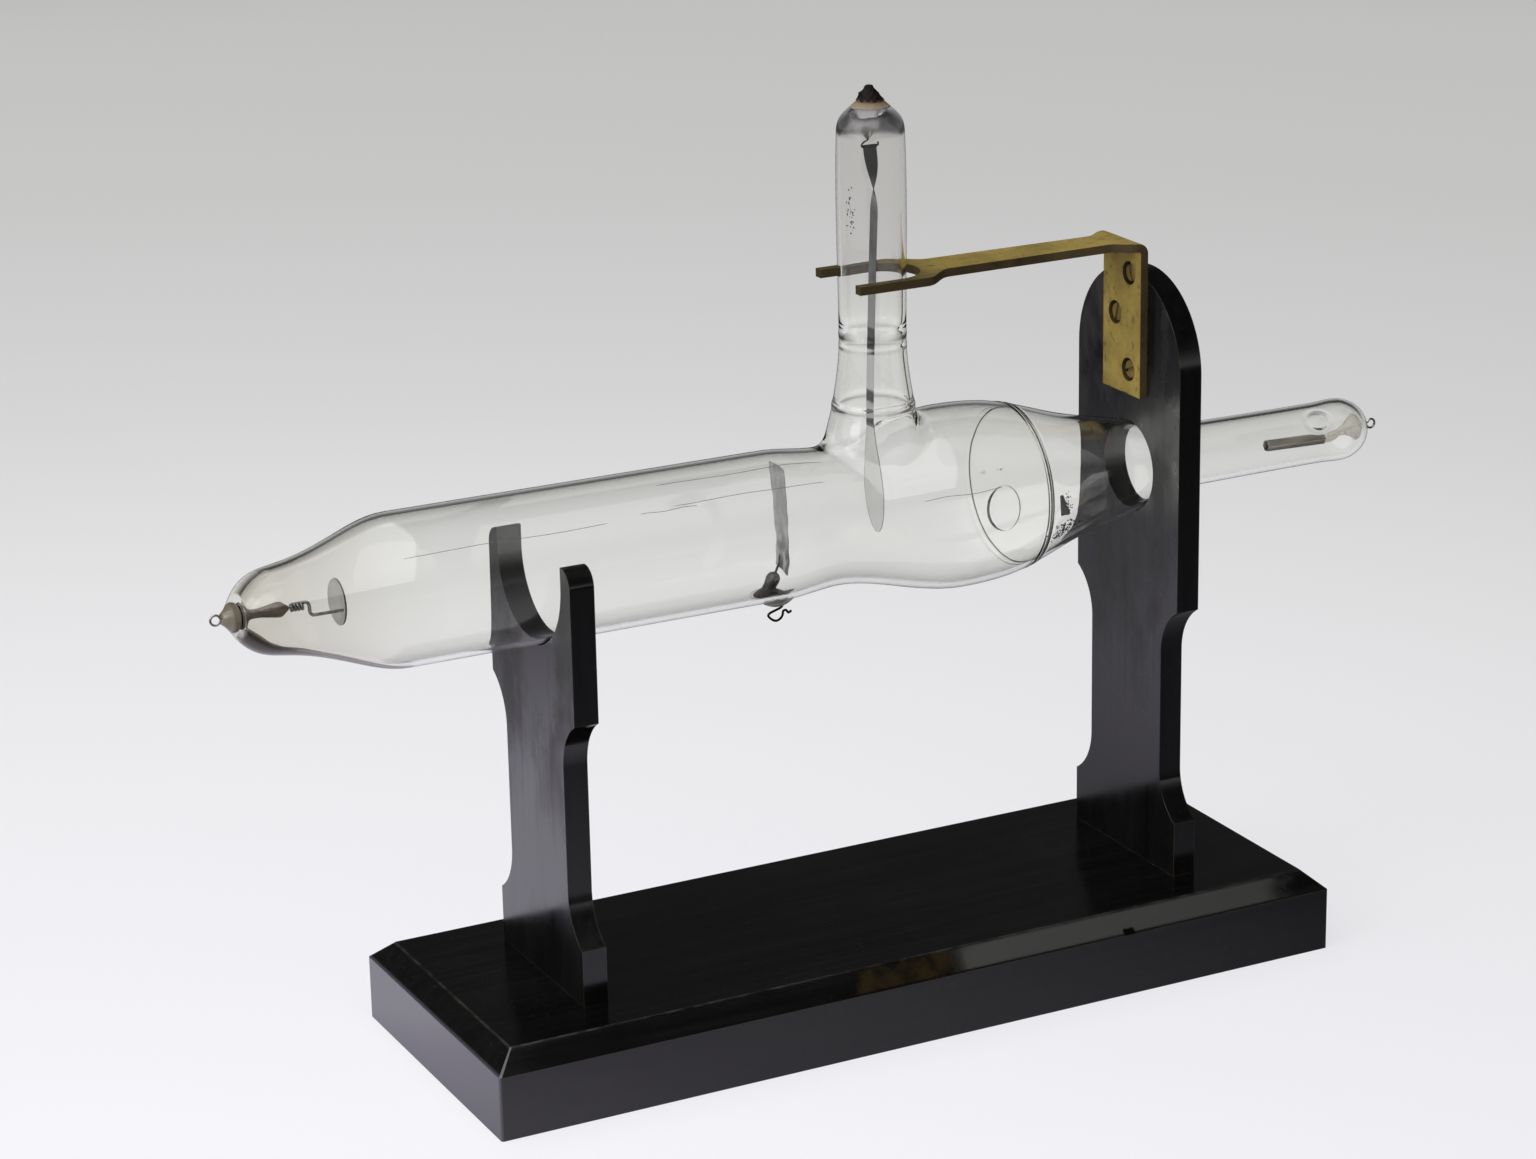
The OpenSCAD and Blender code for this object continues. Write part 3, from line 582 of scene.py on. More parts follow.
# Glass: one blown envelope from nose to narrow end, with a side tube welded on its
# neck. The walls are thin and clear, with beads where lengths were melted together.
wall = 1.2 * MM
tip_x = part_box("main_tube")[0].x
tail_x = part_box("tail_tube")[1].x
seat_x = rear_low.x
joint_x = seal_low.x
tube_radius = 20.2 * MM
tail_radius = 8.55 * MM
tail_bore = tail_radius - wall
side_radius = (side_high.x - side_low.x) / 2
weld_z = side_low.z
dome_x = tail_x - tail_radius
cavity_x = tip_x + 5.7 * MM
ceiling_z = axis_z + 108.0 * MM
ceiling_rise = 6.0 * MM
ceiling_foot = ceiling_z - ceiling_rise
seam_z = axis_z + 29.5 * MM
point_z = side_high.z
crotch_round = 3.5 * MM
scar_x = tail_x - 19.6 * MM
scar_turn = math.radians(42)
scar_rim, scar_hollow, scar_reach = 3.2 * MM, 2.3 * MM, 6 * MM
nib_along, nib_across, nib_radius = 1.6 * MM, 0.6 * MM, 0.45 * MM
nub_low, nub_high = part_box("hook_stem")
nub_x = (nub_low.x + nub_high.x) / 2
nub_l, nub_tip, nub_root = 5.4 * MM, 0.3 * MM, 3.6 * MM


def smooth(stations):
    """The radius at each place, on a smooth curve through (place, radius, slope)."""
    xs, rs, ms = np.array(stations, float).T

    def radius(x):
        i = np.clip(np.searchsorted(xs, x, side="right") - 1, 0, len(xs) - 2)
        span = xs[i + 1] - xs[i]
        t = np.clip((x - xs[i]) / span, 0, 1)
        return ((2 * t**3 - 3 * t**2 + 1) * rs[i] + (t**3 - 2 * t**2 + t) * span * ms[i]
                + (3 * t**2 - 2 * t**3) * rs[i + 1] + (t**3 - t**2) * span * ms[i + 1])
    return radius


def beads(x, *rounds):
    """Small swellings of the glass, each by its place, and its height and width in millimetres."""
    return sum(height * MM * np.exp(-((x - at) / (width * MM)) ** 2) for at, height, width in rounds)


tube_side = smooth([
    (tip_x, 1.5 * MM, 0.6), (tip_x + 2.8 * MM, 4.7 * MM, 1.5), (tip_x + 13 * MM, 11.3 * MM, 0.17),
    (tip_x + 20 * MM, 12.5 * MM, 0.22), (tip_x + 34 * MM, 17 * MM, 0.38), (tip_x + 47 * MM, tube_radius, 0),
    (seat_x - 111.5 * MM, tube_radius, 0), (seat_x - 94.5 * MM, 18.8 * MM, 0), (seat_x - 57.5 * MM, 25.1 * MM, 0),
    (joint_x, 23 * MM, -0.27), (joint_x + 14.7 * MM, 18.3 * MM, -0.31), (seat_x, 12.8 * MM, -0.27),
    (seat_x + 16.5 * MM, tail_radius + 0.4 * MM, -0.02), (dome_x - 4 * MM, tail_radius, 0), (tail_x, tail_radius, 0)])
neck_side = smooth([
    (axis_z, side_radius + 4.4 * MM, 0), (axis_z + 15 * MM, side_radius + 4.4 * MM, 0),
    (axis_z + 20 * MM, side_radius + 4.2 * MM, -0.2), (axis_z + 30 * MM, side_radius + 1.9 * MM, -0.16),
    (weld_z, side_radius, 0), (axis_z + 103.6 * MM, side_radius, -0.04), (axis_z + 106 * MM, 8.45 * MM, -0.42),
    (axis_z + 107.7 * MM, 7.35 * MM, -0.9), (axis_z + 109.8 * MM, 5.1 * MM, -1.1), (point_z, 3.1 * MM, -1.1)])


def tail_dome(x, radius):
    """The round end of the tube, and a large number before it."""
    rounded = np.sqrt(np.clip(radius**2 - np.clip(x - dome_x, 0, None) ** 2, 0, None))
    return np.where(x > dome_x, rounded, 1)


def tail_swell(x):
    """The narrow end swells a little where it was heated to be sealed."""
    return beads(x, (tail_x - 10.2 * MM, 0.3, 3.6))


def tube_outer(x):
    """The tube's outside, with two rings where the diaphragm was melted in."""
    rings = beads(x, (joint_x - 0.5 * MM, 0.14, 0.4), (joint_x + 1.2 * MM, 0.16, 0.5))
    return np.minimum(tube_side(x), tail_dome(x, tail_radius)) + rings + tail_swell(x)


def tube_inner(x):
    """The tube's inside, closed by thick glass at the nose."""
    nose = 4.5 * MM + 1.3 * (x - cavity_x) * np.exp(-(x - cavity_x) / (14 * MM))
    return np.minimum.reduce([tube_side(x) - wall, tail_dome(x, tail_bore),
                              np.where(x < cavity_x + 12 * MM, nose, 1)]) + tail_swell(x)


def neck_outer(z):
    """The outside of the neck and the side tube, with rings at the weld and the seam."""
    return neck_side(z) + beads(z, (weld_z - 1.6 * MM, 0.1, 0.6), (weld_z + 1.4 * MM, 0.12, 0.7), (seam_z, 0.22, 0.9))


def neck_inner(z):
    """The inside of the neck and the side tube, up to its domed ceiling."""
    rise = np.clip((z - ceiling_foot) / ceiling_rise, 0, 1)
    welds = beads(z, (weld_z - 1.8 * MM, 0.14, 0.5), (weld_z + 2.4 * MM, 0.5, 1.7), (seam_z - 0.3 * MM, 0.3, 0.8))
    return (neck_side(z) - wall - welds) * np.sqrt(1 - rise**2)


def turned_x(name, places, radii, sides, y=0, z=axis_z):
    """A round piece along the tube."""
    return skin(name, [ring_x(x, y, z, r, around(sides)) for x, r in zip(places, radii)])


def turned_z(name, places, radii, sides):
    """A round piece up the side tube."""
    return skin(name, [[(side_x + r * math.cos(a), r * math.sin(a), z) for a in around(sides)]
                       for z, r in zip(places, radii)])


def places_of(mesh):
    """The places of a mesh's points, one row for each."""
    points = np.empty(len(mesh.vertices) * 3)
    mesh.vertices.foreach_get("co", points)
    return points.reshape(-1, 3)


def blown(name, tube_places, tube_r, neck_places, neck_r):
    """The tube and its neck as one closed skin, with the crotch between them rounded."""
    least = 0.05 * MM
    mesh = combined(turned_x(name, tube_places, np.maximum(tube_r(tube_places), least), 112),
                    turned_z(name + "_neck", neck_places, np.maximum(neck_r(neck_places), least), 88), "UNION")

    def outside(p):
        a = np.hypot(p[:, 1], p[:, 2] - axis_z) - tube_r(p[:, 0])
        b = np.hypot(p[:, 0] - side_x, p[:, 1]) - neck_r(np.maximum(p[:, 2], axis_z))
        h = np.clip(0.5 + 0.5 * (b - a) / crotch_round, 0, 1)
        return b + (a - b) * h - crotch_round * h * (1 - h)

    points = places_of(mesh)
    near = (np.abs(points[:, 0] - side_x) < 30 * MM) & (points[:, 2] > axis_z + 4 * MM) & (points[:, 2] < weld_z)
    moving = points[near]
    small = 0.01 * MM
    for _ in range(12):
        value = outside(moving)
        slope = np.stack([(outside(moving + small * axis) - value) / small for axis in np.eye(3)], 1)
        size = np.clip((slope**2).sum(1), 0.2, None)
        moving = moving - 0.8 * (value / size)[:, None] * slope
    points[near] = moving
    mesh.vertices.foreach_set("co", points.ravel())
    settle(mesh)
    return mesh


def runs(ends, counts):
    """Evenly spaced places from each end to the next."""
    return [np.linspace(a, b, count) for a, b, count in zip(ends, ends[1:], counts)]


def closing(start, length, count):
    """Places that crowd together towards a round end."""
    return start + length * np.sin(np.linspace(0, math.pi / 2, count))


def press_scar(mesh, share):
    """The seal-off scar on the narrow end: a sunk round with a raised rim and a broken nib."""
    points = places_of(mesh)
    out = points * (0, 1, 1) - (0, 0, axis_z)
    reach = np.maximum(np.linalg.norm(out, axis=1), 0.01 * MM)
    along = points[:, 0] - scar_x
    across_it = (np.arctan2(out[:, 2], -out[:, 1]) - scar_turn) * tail_radius
    away = np.hypot(along / 1.25, across_it)
    nib = np.exp(-((along - nib_along) ** 2 + (across_it - nib_across) ** 2) / nib_radius**2)
    lift = beads(away, (scar_rim, 0.3, 0.5)) - 0.1 * MM * np.exp(-(away / scar_hollow) ** 4) + 0.3 * MM * nib
    near = (away < scar_reach) & (reach < 11 * MM)
    points += np.where(near, share * lift / reach, 0)[:, None] * out
    mesh.vertices.foreach_set("co", points.ravel())


def draw_nub(mesh):
    """Draw the ceiling of the side tube down to the small nub that holds the hook."""
    points = places_of(mesh)
    away = np.hypot(points[:, 0] - nub_x, points[:, 1])
    drawn = nub_low.z + nub_l * np.clip((away - nub_tip) / (nub_root - nub_tip), 0, 1) ** 0.9
    under = (points[:, 2] > ceiling_foot) & (away < nub_root)
    points[:, 2] = np.where(under, np.minimum(points[:, 2], drawn), points[:, 2])
    mesh.vertices.foreach_set("co", points.ravel())


def joined(name, meshes):
    """Several meshes as one piece, kept as they are."""
    work = bmesh.new()
    for mesh in meshes:
        work.from_mesh(mesh)
    made = bpy.data.meshes.new(name)
    work.to_mesh(made)
    work.free()
    made.polygons.foreach_set("use_smooth", [True] * len(made.polygons))
    return put(name, made)


tube_places = np.unique(np.concatenate(runs(
    [tip_x, tip_x + 16 * MM, side_x - 28 * MM, side_x + 28 * MM, joint_x - 2 * MM, joint_x + 3 * MM,
     scar_x - 6 * MM, dome_x], [40, 60, 64, 10, 26, 56, 48]) + [closing(dome_x, tail_radius, 16)]))
neck_places = np.unique(np.concatenate(runs(
    [axis_z, weld_z - 5 * MM, weld_z + 5 * MM, axis_z + 98 * MM, point_z], [44, 24, 24, 28])
    + [np.linspace(seam_z - 3 * MM, seam_z + 3 * MM, 19)]))
cavity_shoulder = cavity_x + 14 * MM
inner_places = np.unique(np.concatenate([
    np.linspace(cavity_x, cavity_shoulder, 30),
    tube_places[(tube_places > cavity_shoulder) & (tube_places < dome_x)],
    closing(dome_x, tail_x - wall - dome_x, 16)]))
inner_neck_places = np.unique(np.concatenate([
    neck_places[neck_places < ceiling_foot], closing(ceiling_foot, ceiling_rise, 26)]))
outer_skin = blown("glass_outside", tube_places, tube_outer, neck_places, neck_outer)
inner_skin = blown("glass_inside", inner_places, tube_inner, inner_neck_places, neck_inner)
inner_skin.flip_normals()
press_scar(outer_skin, 1.0)
press_scar(inner_skin, -0.3)
draw_nub(inner_skin)
glass = joined("glass_envelope", [outer_skin, inner_skin])


def signs_of_age(tree, colour):
    """The tube is smoked towards the nose, and a painted shade darkens the lower edge of the nose nearly black. The
    side tube is dusty, and its thick top is painted grey as painted shade and is hazy. Gives the colour and the
    roughness."""
    where = place_on(tree)
    # The last tint greys the thick top of the side tube: painted shade of the thick glass.
    for axis, start, end, tint in (("X", tip_x + 54 * MM, tip_x + 8 * MM, (0.84, 0.824, 0.77)),
                                   ("Z", axis_z + 54 * MM, axis_z + 70 * MM, (0.925, 0.918, 0.908)),
                                   ("Z", ceiling_z - 2.6 * MM, ceiling_z + 0.4 * MM, (0.52, 0.51, 0.55))):
        colour = mix(tree, between(tree, where[axis], start, end), colour, tint)
    # Painted shade: the lower edge of the nose, where it faces down and forward, is darkened nearly black.
    offset = vector_calc(tree, "SUBTRACT", add(tree, "TexCoord").outputs["Object"], (0, 0, axis_z))
    turned = vector_calc(tree, "NORMALIZE", vector_calc(tree, "MULTIPLY", offset, (0, 1, 1)))
    underside = vector_calc(tree, "DOT_PRODUCT", turned, (0, -0.345, -0.939))
    edge = between(tree, where["X"], tip_x + 3 * MM, tip_x + 10 * MM, 0.5, 0.82)
    for start, end, change in ((10, 17, 0.115), (17, 24, 0.045), (24, 34, 0.009), (34, 48, 0.006)):
        edge = calc(tree, "ADD", edge, between(tree, where["X"], tip_x + start * MM, tip_x + end * MM, 0.0, change))
    nose_underside_shade = together(tree, between(tree, calc(tree, "SUBTRACT", underside, edge), 0.0, 0.004),
                       window(tree, where["X"], tip_x + 3.5 * MM, tip_x + 48 * MM, 0.6 * MM))
    hazy = between(tree, where["Z"], ceiling_foot, ceiling_z - 3.0 * MM, 0.0, 0.2)
    return mix(tree, nose_underside_shade, colour, (0.035, 0.028, 0.016)), hazy


def clear_glass(name, ripple, aged):
    """Old glass: clear, hardly tinted, with painted shade that darkens it where it is seen on edge, and drawn streaks.
    """
    made, tree = material(name)
    # Painted shade: the colour darkens towards grazing view, standing in for the dark edges of the glass.
    edge_shade = between(tree, add(tree, "LayerWeight", {"Blend": 0.5}).outputs["Facing"], 0.8, 1.0)
    colour, rough = mix(tree, edge_shade, (0.992, 0.992, 0.975), (0.58, 0.58, 0.56)), 0.0
    if aged:
        colour, rough = signs_of_age(tree, colour)
    return coat(made, {"Base Color": colour, "Roughness": rough, "Transmission Weight": 1.0, "IOR": 1.43},
                (noise(tree, ripple, 2.0), 0.08, 0.25 * MM))


glass.visible_shadow = False
dress(glass, [clear_glass("blown_glass", (9, 120, 120), True)], "tube", "clear_glass",
      "main_tube", "tail_tube", "side_tube", "hook_stem")

# Diaphragm: a clear glass disc with an oval opening, melted in across the bulb's end
# before the taper was joined on. Its edges are painted dark: painted shade for the thin dark rings they show.
screen_gap = 0.04 * MM
screen_edge = 0.2 * MM
opening_y, opening_z = 3 * MM, axis_z - 7.6 * MM
opening_half_y, opening_half_z, opening_slant = 8.6 * MM, 6.6 * MM, 2.5 * MM


def bore(x):
    """The inner radius of the tube at one place."""
    return float(tube_inner(np.array([x]))[0])


oval = [(opening_y + opening_half_y * math.cos(a),
         opening_z + opening_half_z * math.sin(a) - opening_slant * math.cos(a)) for a in around(48)]
screen_rim = arc((0, axis_z), bore(joint_x) - screen_gap, 0, 360, 96)[:-1]
screen = flat_board("glass_diaphragm", [screen_rim, oval], seal_high.x - seal_low.x, across(seal_low, seal_high))
soften(screen, screen_edge, 2)
mark_edges(screen, 0, 0.4)


def cloudy(name, grain, dark, pale, dullness, inputs, relief=(), marks=None):
    """A finish whose colour, gloss and relief go with one grain, under marks of (mask, colour)."""
    made, tree = material(name)
    clouds = noise(tree, grain, 4.0)
    colour = ramp(tree, clouds, [(0.3, dark), (0.7, pale)])
    for mask, stain in (marks(tree) if marks else []):
        colour = mix(tree, mask, colour, stain)
    rough = between(tree, clouds, 0.3, 0.7, *dullness)
    return coat(made, {"Base Color": colour, "Roughness": rough, **inputs}, relief and (clouds, *relief))


def burnt_glass(name, dark, pale, grain=(160, 420, 420)):
    """Glass turned brown by the flame, cloudy and half opaque."""
    return cloudy(name, grain, dark, pale, (0.15, 0.4), {}, (0.2, 0.1 * MM))


screen.visible_shadow = False
# The rim and the walls of the opening get a dark finish: painted shade.
dress(screen, [clear_glass("sheet_glass", (30, 60, 60), False),
               burnt_glass("glass_rim_shade", (0.1, 0.095, 0.08), (0.25, 0.235, 0.2))],
      "tube", "clear_glass", "diaphragm")

# Wax: a dab of black sealing wax, dripped on the point where the side tube was drawn
# off, with a few lumps. Under it the glass is stained brown.
wax_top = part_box("tip_wax")[1].z
stain_low = point_z - 2.0 * MM
wax_line = point_z - 0.3 * MM
wax_lean = 0.3 * MM
wax_side = smooth([(wax_line, 3.75 * MM, -1.0), (point_z + 1.75 * MM, 2.05 * MM, -0.8), (wax_top, 0.6 * MM, -0.8)])
skirt = np.linspace(stain_low, wax_line, 6)
crown = np.linspace(wax_line + 0.12 * MM, wax_top, 16)
wax = turned_z("wax_cap", np.concatenate([skirt, crown]),
               np.concatenate([neck_outer(skirt) + 0.05 * MM, wax_side(crown) + 0.12 * MM]), 48)
for vert in wax.data.vertices:
    x, y, z = vert.co.x - side_x, vert.co.y, vert.co.z
    if z > wax_line:
        turn = math.atan2(y, x)
        drip = 0.55 * math.exp(-((z - point_z - 1.6 * MM) / (0.55 * MM)) ** 2) * max(0.0, -math.cos(turn + 0.5)) ** 3
        lump = 0.12 * math.sin(5 * turn + z * 2900) + 0.1 * math.sin(9 * turn - z * 4100)
        swell = (drip + lump * min(1.0, (z - wax_line) / MM)) * MM
        share = 1 + swell / max(math.hypot(x, y), 0.5 * MM)
        vert.co.x = side_x - wax_lean * (z - wax_line) / (wax_top - wax_line) + x * share
        vert.co.y = y * share


def sealing_wax(name):
    """Nearly black wax that thins out to a tan stain on the glass below it."""
    made, tree = material(name)
    lumps = noise(tree, (900, 900, 900), 3.0)
    ragged = calc(tree, "ADD", place_on(tree)["Z"], between(tree, lumps, 0.2, 0.8, -0.4 * MM, 0.4 * MM))
    tan = ramp(tree, between(tree, ragged, stain_low, wax_line), [(0.0, (0.3, 0.262, 0.2)), (1.0, (0.2, 0.14, 0.078))])
    black = ramp(tree, lumps, [(0.35, (0.003, 0.0015, 0.0015)), (0.7, (0.014, 0.005, 0.0035))])
    covered = between(tree, ragged, wax_line - 0.1 * MM, wax_line + 0.35 * MM)
    return coat(made, {"Base Color": mix(tree, covered, tan, black), "Specular IOR Level": 0.2,
                       "Roughness": between(tree, lumps, 0.3, 0.7, 0.5, 0.8)}, (lumps, 0.4, 0.15 * MM))


dress(wax, [sealing_wax("black_wax")], "tube", "black_wax", "tip_wax")

# Nose stem: dark glass drawn down round the lead inside the nose, swelling to a bead,
# on a cream enamel seal that fills the glass tip.
stem_low, stem_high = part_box("nose_stem")
stem_side = smooth([(stem_low.x, 2.6 * MM, -1), (stem_low.x + 2.5 * MM, 1.2 * MM, -0.1),
                    (stem_high.x - 3.4 * MM, 1.95 * MM, 0), (stem_high.x, 0.6 * MM, -0.8)])
stem_places = np.linspace(stem_low.x, stem_high.x, 40)
nose_stem = turned_x("nose_stem_bead", stem_places, stem_side(stem_places), 32)
dress(nose_stem, [burnt_glass("browned_glass", (0.05, 0.04, 0.03), (0.13, 0.105, 0.08))],
      "tube", "dark_glass", "nose_stem")

enamel_radius = 3.3 * MM
seal_places = np.linspace(tip_x + 0.3 * MM, cavity_x - 0.15 * MM, 24)
seal_cone = np.minimum(0.72 * tube_outer(seal_places), enamel_radius)
seal_end = ((seal_places - cavity_x + 1.6 * MM) / (1.9 * MM)).clip(0)
seal_round = enamel_radius * np.sqrt(np.clip(1 - seal_end**2, 0.05, 1))
enamel = turned_x("nose_enamel", seal_places, np.maximum(np.minimum(seal_cone, seal_round), 0.5 * MM), 48)
dress(enamel, [burnt_glass("tan_enamel", (0.2, 0.17, 0.13), (0.3, 0.265, 0.205), (40, 90, 90))],
      "tube", "dark_glass")

# Leads: bright wires melted through the glass, each bent to a loop on the outside.
# A winding of thicker wire on the nose lead carries the disc.
lead_radius = 0.3 * MM
loop_radius = 1.3 * MM
loop_sweep, loop_steps = 330, 28
loop_drift = -0.25 * MM
nose_wire_low, nose_wire_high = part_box("nose_lead")
disc_low, disc_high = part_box("disc_electrode")
coil_radius = 0.8 * MM
coil_pitch = 0.94 * MM
coil_turns, coil_steps = 4, 24
coil_wire = 0.44 * MM
coil_x = stem_high.x + 0.5 * MM
coil_end = coil_x + coil_turns * coil_pitch
coil_drop = 3 * MM


def eased(points, per_span=6):
    """A smooth path through the points."""
    p = [Vector(q) for q in points]
    path = []
    for i in range(len(p) - 1):
        a, b, c, d = p[max(i - 1, 0)], p[i], p[i + 1], p[min(i + 2, len(p) - 1)]
        for k in range(per_span):
            t = k / per_span
            path.append(0.5 * (2 * b + (c - a) * t + (2 * a - 5 * b + 4 * c - d) * t**2
                               + (3 * b - a - 3 * c + d) * t**3))
    return path + [p[-1]]


def wire(name, path, radius, sides=12):
    """A round wire or drawn rod along a path; the radius is one number or one for each point."""
    last = len(path) - 1
    aim = [(path[min(i + 1, last)] - path[max(i - 1, 0)]).normalized() for i in range(last + 1)]
    sizes = radius if isinstance(radius, list) else [radius * 0.6] + [radius] * (last - 1) + [radius * 0.6]
    side = aim[0].orthogonal().normalized()
    rings = []
    for place, ahead, size in zip(path, aim, sizes):
        side = (side - ahead * side.dot(ahead)).normalized()
        up = ahead.cross(side)
        rings.append([place + size * (math.cos(a) * side + math.sin(a) * up) for a in around(sides)])
    return skin(name, rings)


def metal(name, dark, pale, rough, grain=(600, 600, 600), bare=1.0, marks=None):
    """Metal with a drawn or rolled grain and dull patches; bare is how little it is tarnished."""
    return cloudy(name, grain, dark, pale, (rough - 0.08, rough + 0.1), {"Metallic": bare}, (0.25, 0.03 * MM), marks)


def terminal_loop(x, start):
    """Points round a lead's outer loop, drifting sideways so that it clears itself."""
    steps = [k / loop_steps for k in range(loop_steps + 1)]
    turns = [math.radians(start + loop_sweep * share) for share in steps]
    return [Vector((x + loop_radius * math.cos(a), loop_drift * share, axis_z + loop_radius * math.sin(a)))
            for a, share in zip(turns, steps)]


lead_metal = metal("lead_wire", (0.3, 0.29, 0.28), (0.6, 0.59, 0.57), 0.3)
nose_way = [Vector((x, 0, axis_z)) for x in (nose_wire_high.x, stem_low.x, tip_x)]
nose_loop = terminal_loop(nose_wire_low.x + loop_radius + lead_radius, 20)
nose_lead = wire("nose_lead_wire", nose_way + nose_loop, lead_radius)
dress(nose_lead, [lead_metal], "tube", "lead_wire", "nose_lead")

winding = []
for k in range(coil_turns * coil_steps + 1):
    turn = math.radians(360 / coil_steps * k)
    winding.append(Vector((coil_x + coil_pitch * k / coil_steps, -coil_radius * math.sin(turn),
                           axis_z + coil_radius * math.cos(turn))))
crank = [(0.9, 0.55), (1.35, -0.3), (1.45, -1.3), (1.6, -2.3), (2.2, -2.9), (3.2, -3.0)]
run = eased([winding[-1]] + [Vector((coil_end + x * MM, 0, axis_z + z * MM)) for x, z in crank]
            + [Vector((disc_low.x, 0, axis_z - coil_drop))], 5)
disc_wire = wire("disc_wire_winding", winding + run[1:], coil_wire)
dress(disc_wire, [metal("wound_wire", (0.09, 0.09, 0.09), (0.36, 0.36, 0.35), 0.35, (900, 900, 900))],
      "tube", "aluminium", "disc_wire")

# Disc: a small round of sheet aluminium, slightly dished, with its cut rim painted nearly black as painted shade.
# It is fixed by its near rim to the end of the wound wire.
disc_centre = (disc_low + disc_high) / 2
disc_radius = (disc_high.y - disc_low.y) / 2
disc_t = disc_high.x - disc_low.x
disc_profile = [(0, 0.02), (0.1, 0.5), (0.0, 0.97), (0.2, 1.0), (0.8, 1.0), (1.0, 0.97), (1.0, 0.5), (1.0, 0.02)]
disc = turned_x("disc_sheet", [disc_low.x + x * disc_t for x, _ in disc_profile],
                [share * disc_radius for _, share in disc_profile], 64, disc_centre.y, disc_centre.z)
mark_edges(disc, 0, 0.6)
# The rim gets a nearly black finish: painted shade.
dress(disc, [metal("grey_aluminium", (0.3, 0.3, 0.3), (0.5, 0.5, 0.49), 0.42, (700, 300, 90), 0.5),
             metal("disc_rim_shade", (0.03, 0.03, 0.03), (0.1, 0.1, 0.1), 0.4)], "tube", "aluminium", "disc_electrode")

# Strip: a slip of sheet aluminium, bent a little by hand, on a lead that comes through
# a leaning stem of dark glass in the tube's floor. A collar, a weld line and a drip of
# glass show where the stem was melted in.
stem_lean = math.radians(25)
foot_x = seat_x - 113.5 * MM
foot = Vector((foot_x, 0, axis_z - tube_radius))
stem_axis = Vector((math.sin(stem_lean), 0, math.cos(stem_lean)))
stem_profile = [(-1.4, 0.5), (-1.2, 1.3), (-0.6, 2.3), (0.2, 2.6), (1.0, 2.2), (1.8, 1.8), (3.6, 1.75),
                (5.4, 1.95), (6.3, 1.85), (7.0, 1.45), (7.4, 0.9), (7.6, 0.4)]
collar_x, collar_y = foot_x - 0.2 * MM, -4.0 * MM
collar_half_x, collar_half_y = 4.5 * MM, 6.0 * MM
collar_profile = [(0.05, -0.05), (0.5, -0.05), (0.95, -0.05), (1.0, 0.15), (0.93, 0.55), (0.75, 1.0), (0.5, 1.5)]
crest_shift = 0.4 * MM
weld_gap = 0.7 * MM
weld_radius = 0.1 * MM


def leaning(profile, sides=32):
    """Rings round the leaning stem from (length, radius) in millimetres."""
    out = Vector((math.cos(stem_lean), 0, -math.sin(stem_lean)))
    return [[foot + stem_axis * (l * MM) + r * MM * (math.cos(a) * out + math.sin(a) * Vector((0, 1, 0)))
             for a in around(sides)] for l, r in profile]


def on_floor(x, y, above):
    """A point over the inside of the tube's floor."""
    return Vector((x, y, axis_z - math.sqrt((tube_radius - wall) ** 2 - y * y) + above))


club = skin("strip_stem_club", leaning(stem_profile))
collar_rings = []
for share, rise in collar_profile:
    middle = collar_x + (crest_shift if rise > 0.5 else 0)
    collar_rings.append([on_floor(middle + share * collar_half_x * math.cos(a),
                                  share * (collar_y + collar_half_y * math.sin(a)), rise * MM) for a in around(40)])
collar = skin("strip_stem_collar", collar_rings)
weld_way = [on_floor(collar_x + (collar_half_x + weld_gap) * math.cos(a),
                     collar_y + (collar_half_y + weld_gap) * math.sin(a), 0.05 * MM)
            for a in np.linspace(0, 2 * math.pi, 49)]
weld_line = wire("strip_stem_weld", weld_way, weld_radius, 8)
dress(weld_line, [burnt_glass("weld_tan", (0.2, 0.15, 0.08), (0.34, 0.27, 0.16))], "tube", "dark_glass")
stem_glass = burnt_glass("dark_stem_glass", (0.008, 0.007, 0.006), (0.035, 0.031, 0.026))
dress(club, [stem_glass], "tube", "dark_glass", "strip_stem")
dress(collar, [stem_glass], "tube", "dark_glass")

drip_way = eased([foot + Vector(step) * MM for step in (
    (-1.8, -0.9, 0.3), (0.8, -1.0, -0.4), (3.2, -1.1, -0.8), (5.6, -1.0, -0.9), (8.6, -0.8, -0.1))])
drip_shares = [i / (len(drip_way) - 1) for i in range(len(drip_way))]
drip_sizes = [(0.25 + 1.35 * math.sin(math.pi * min(1.0, share ** 0.8)) ** 0.8) * MM for share in drip_shares]
drip = wire("strip_stem_drip", drip_way, drip_sizes, 24)
dress(drip, [burnt_glass("streaked_drip_glass", (0.02, 0.022, 0.015), (0.42, 0.42, 0.38), (60, 900, 900))],
      "tube", "dark_glass")

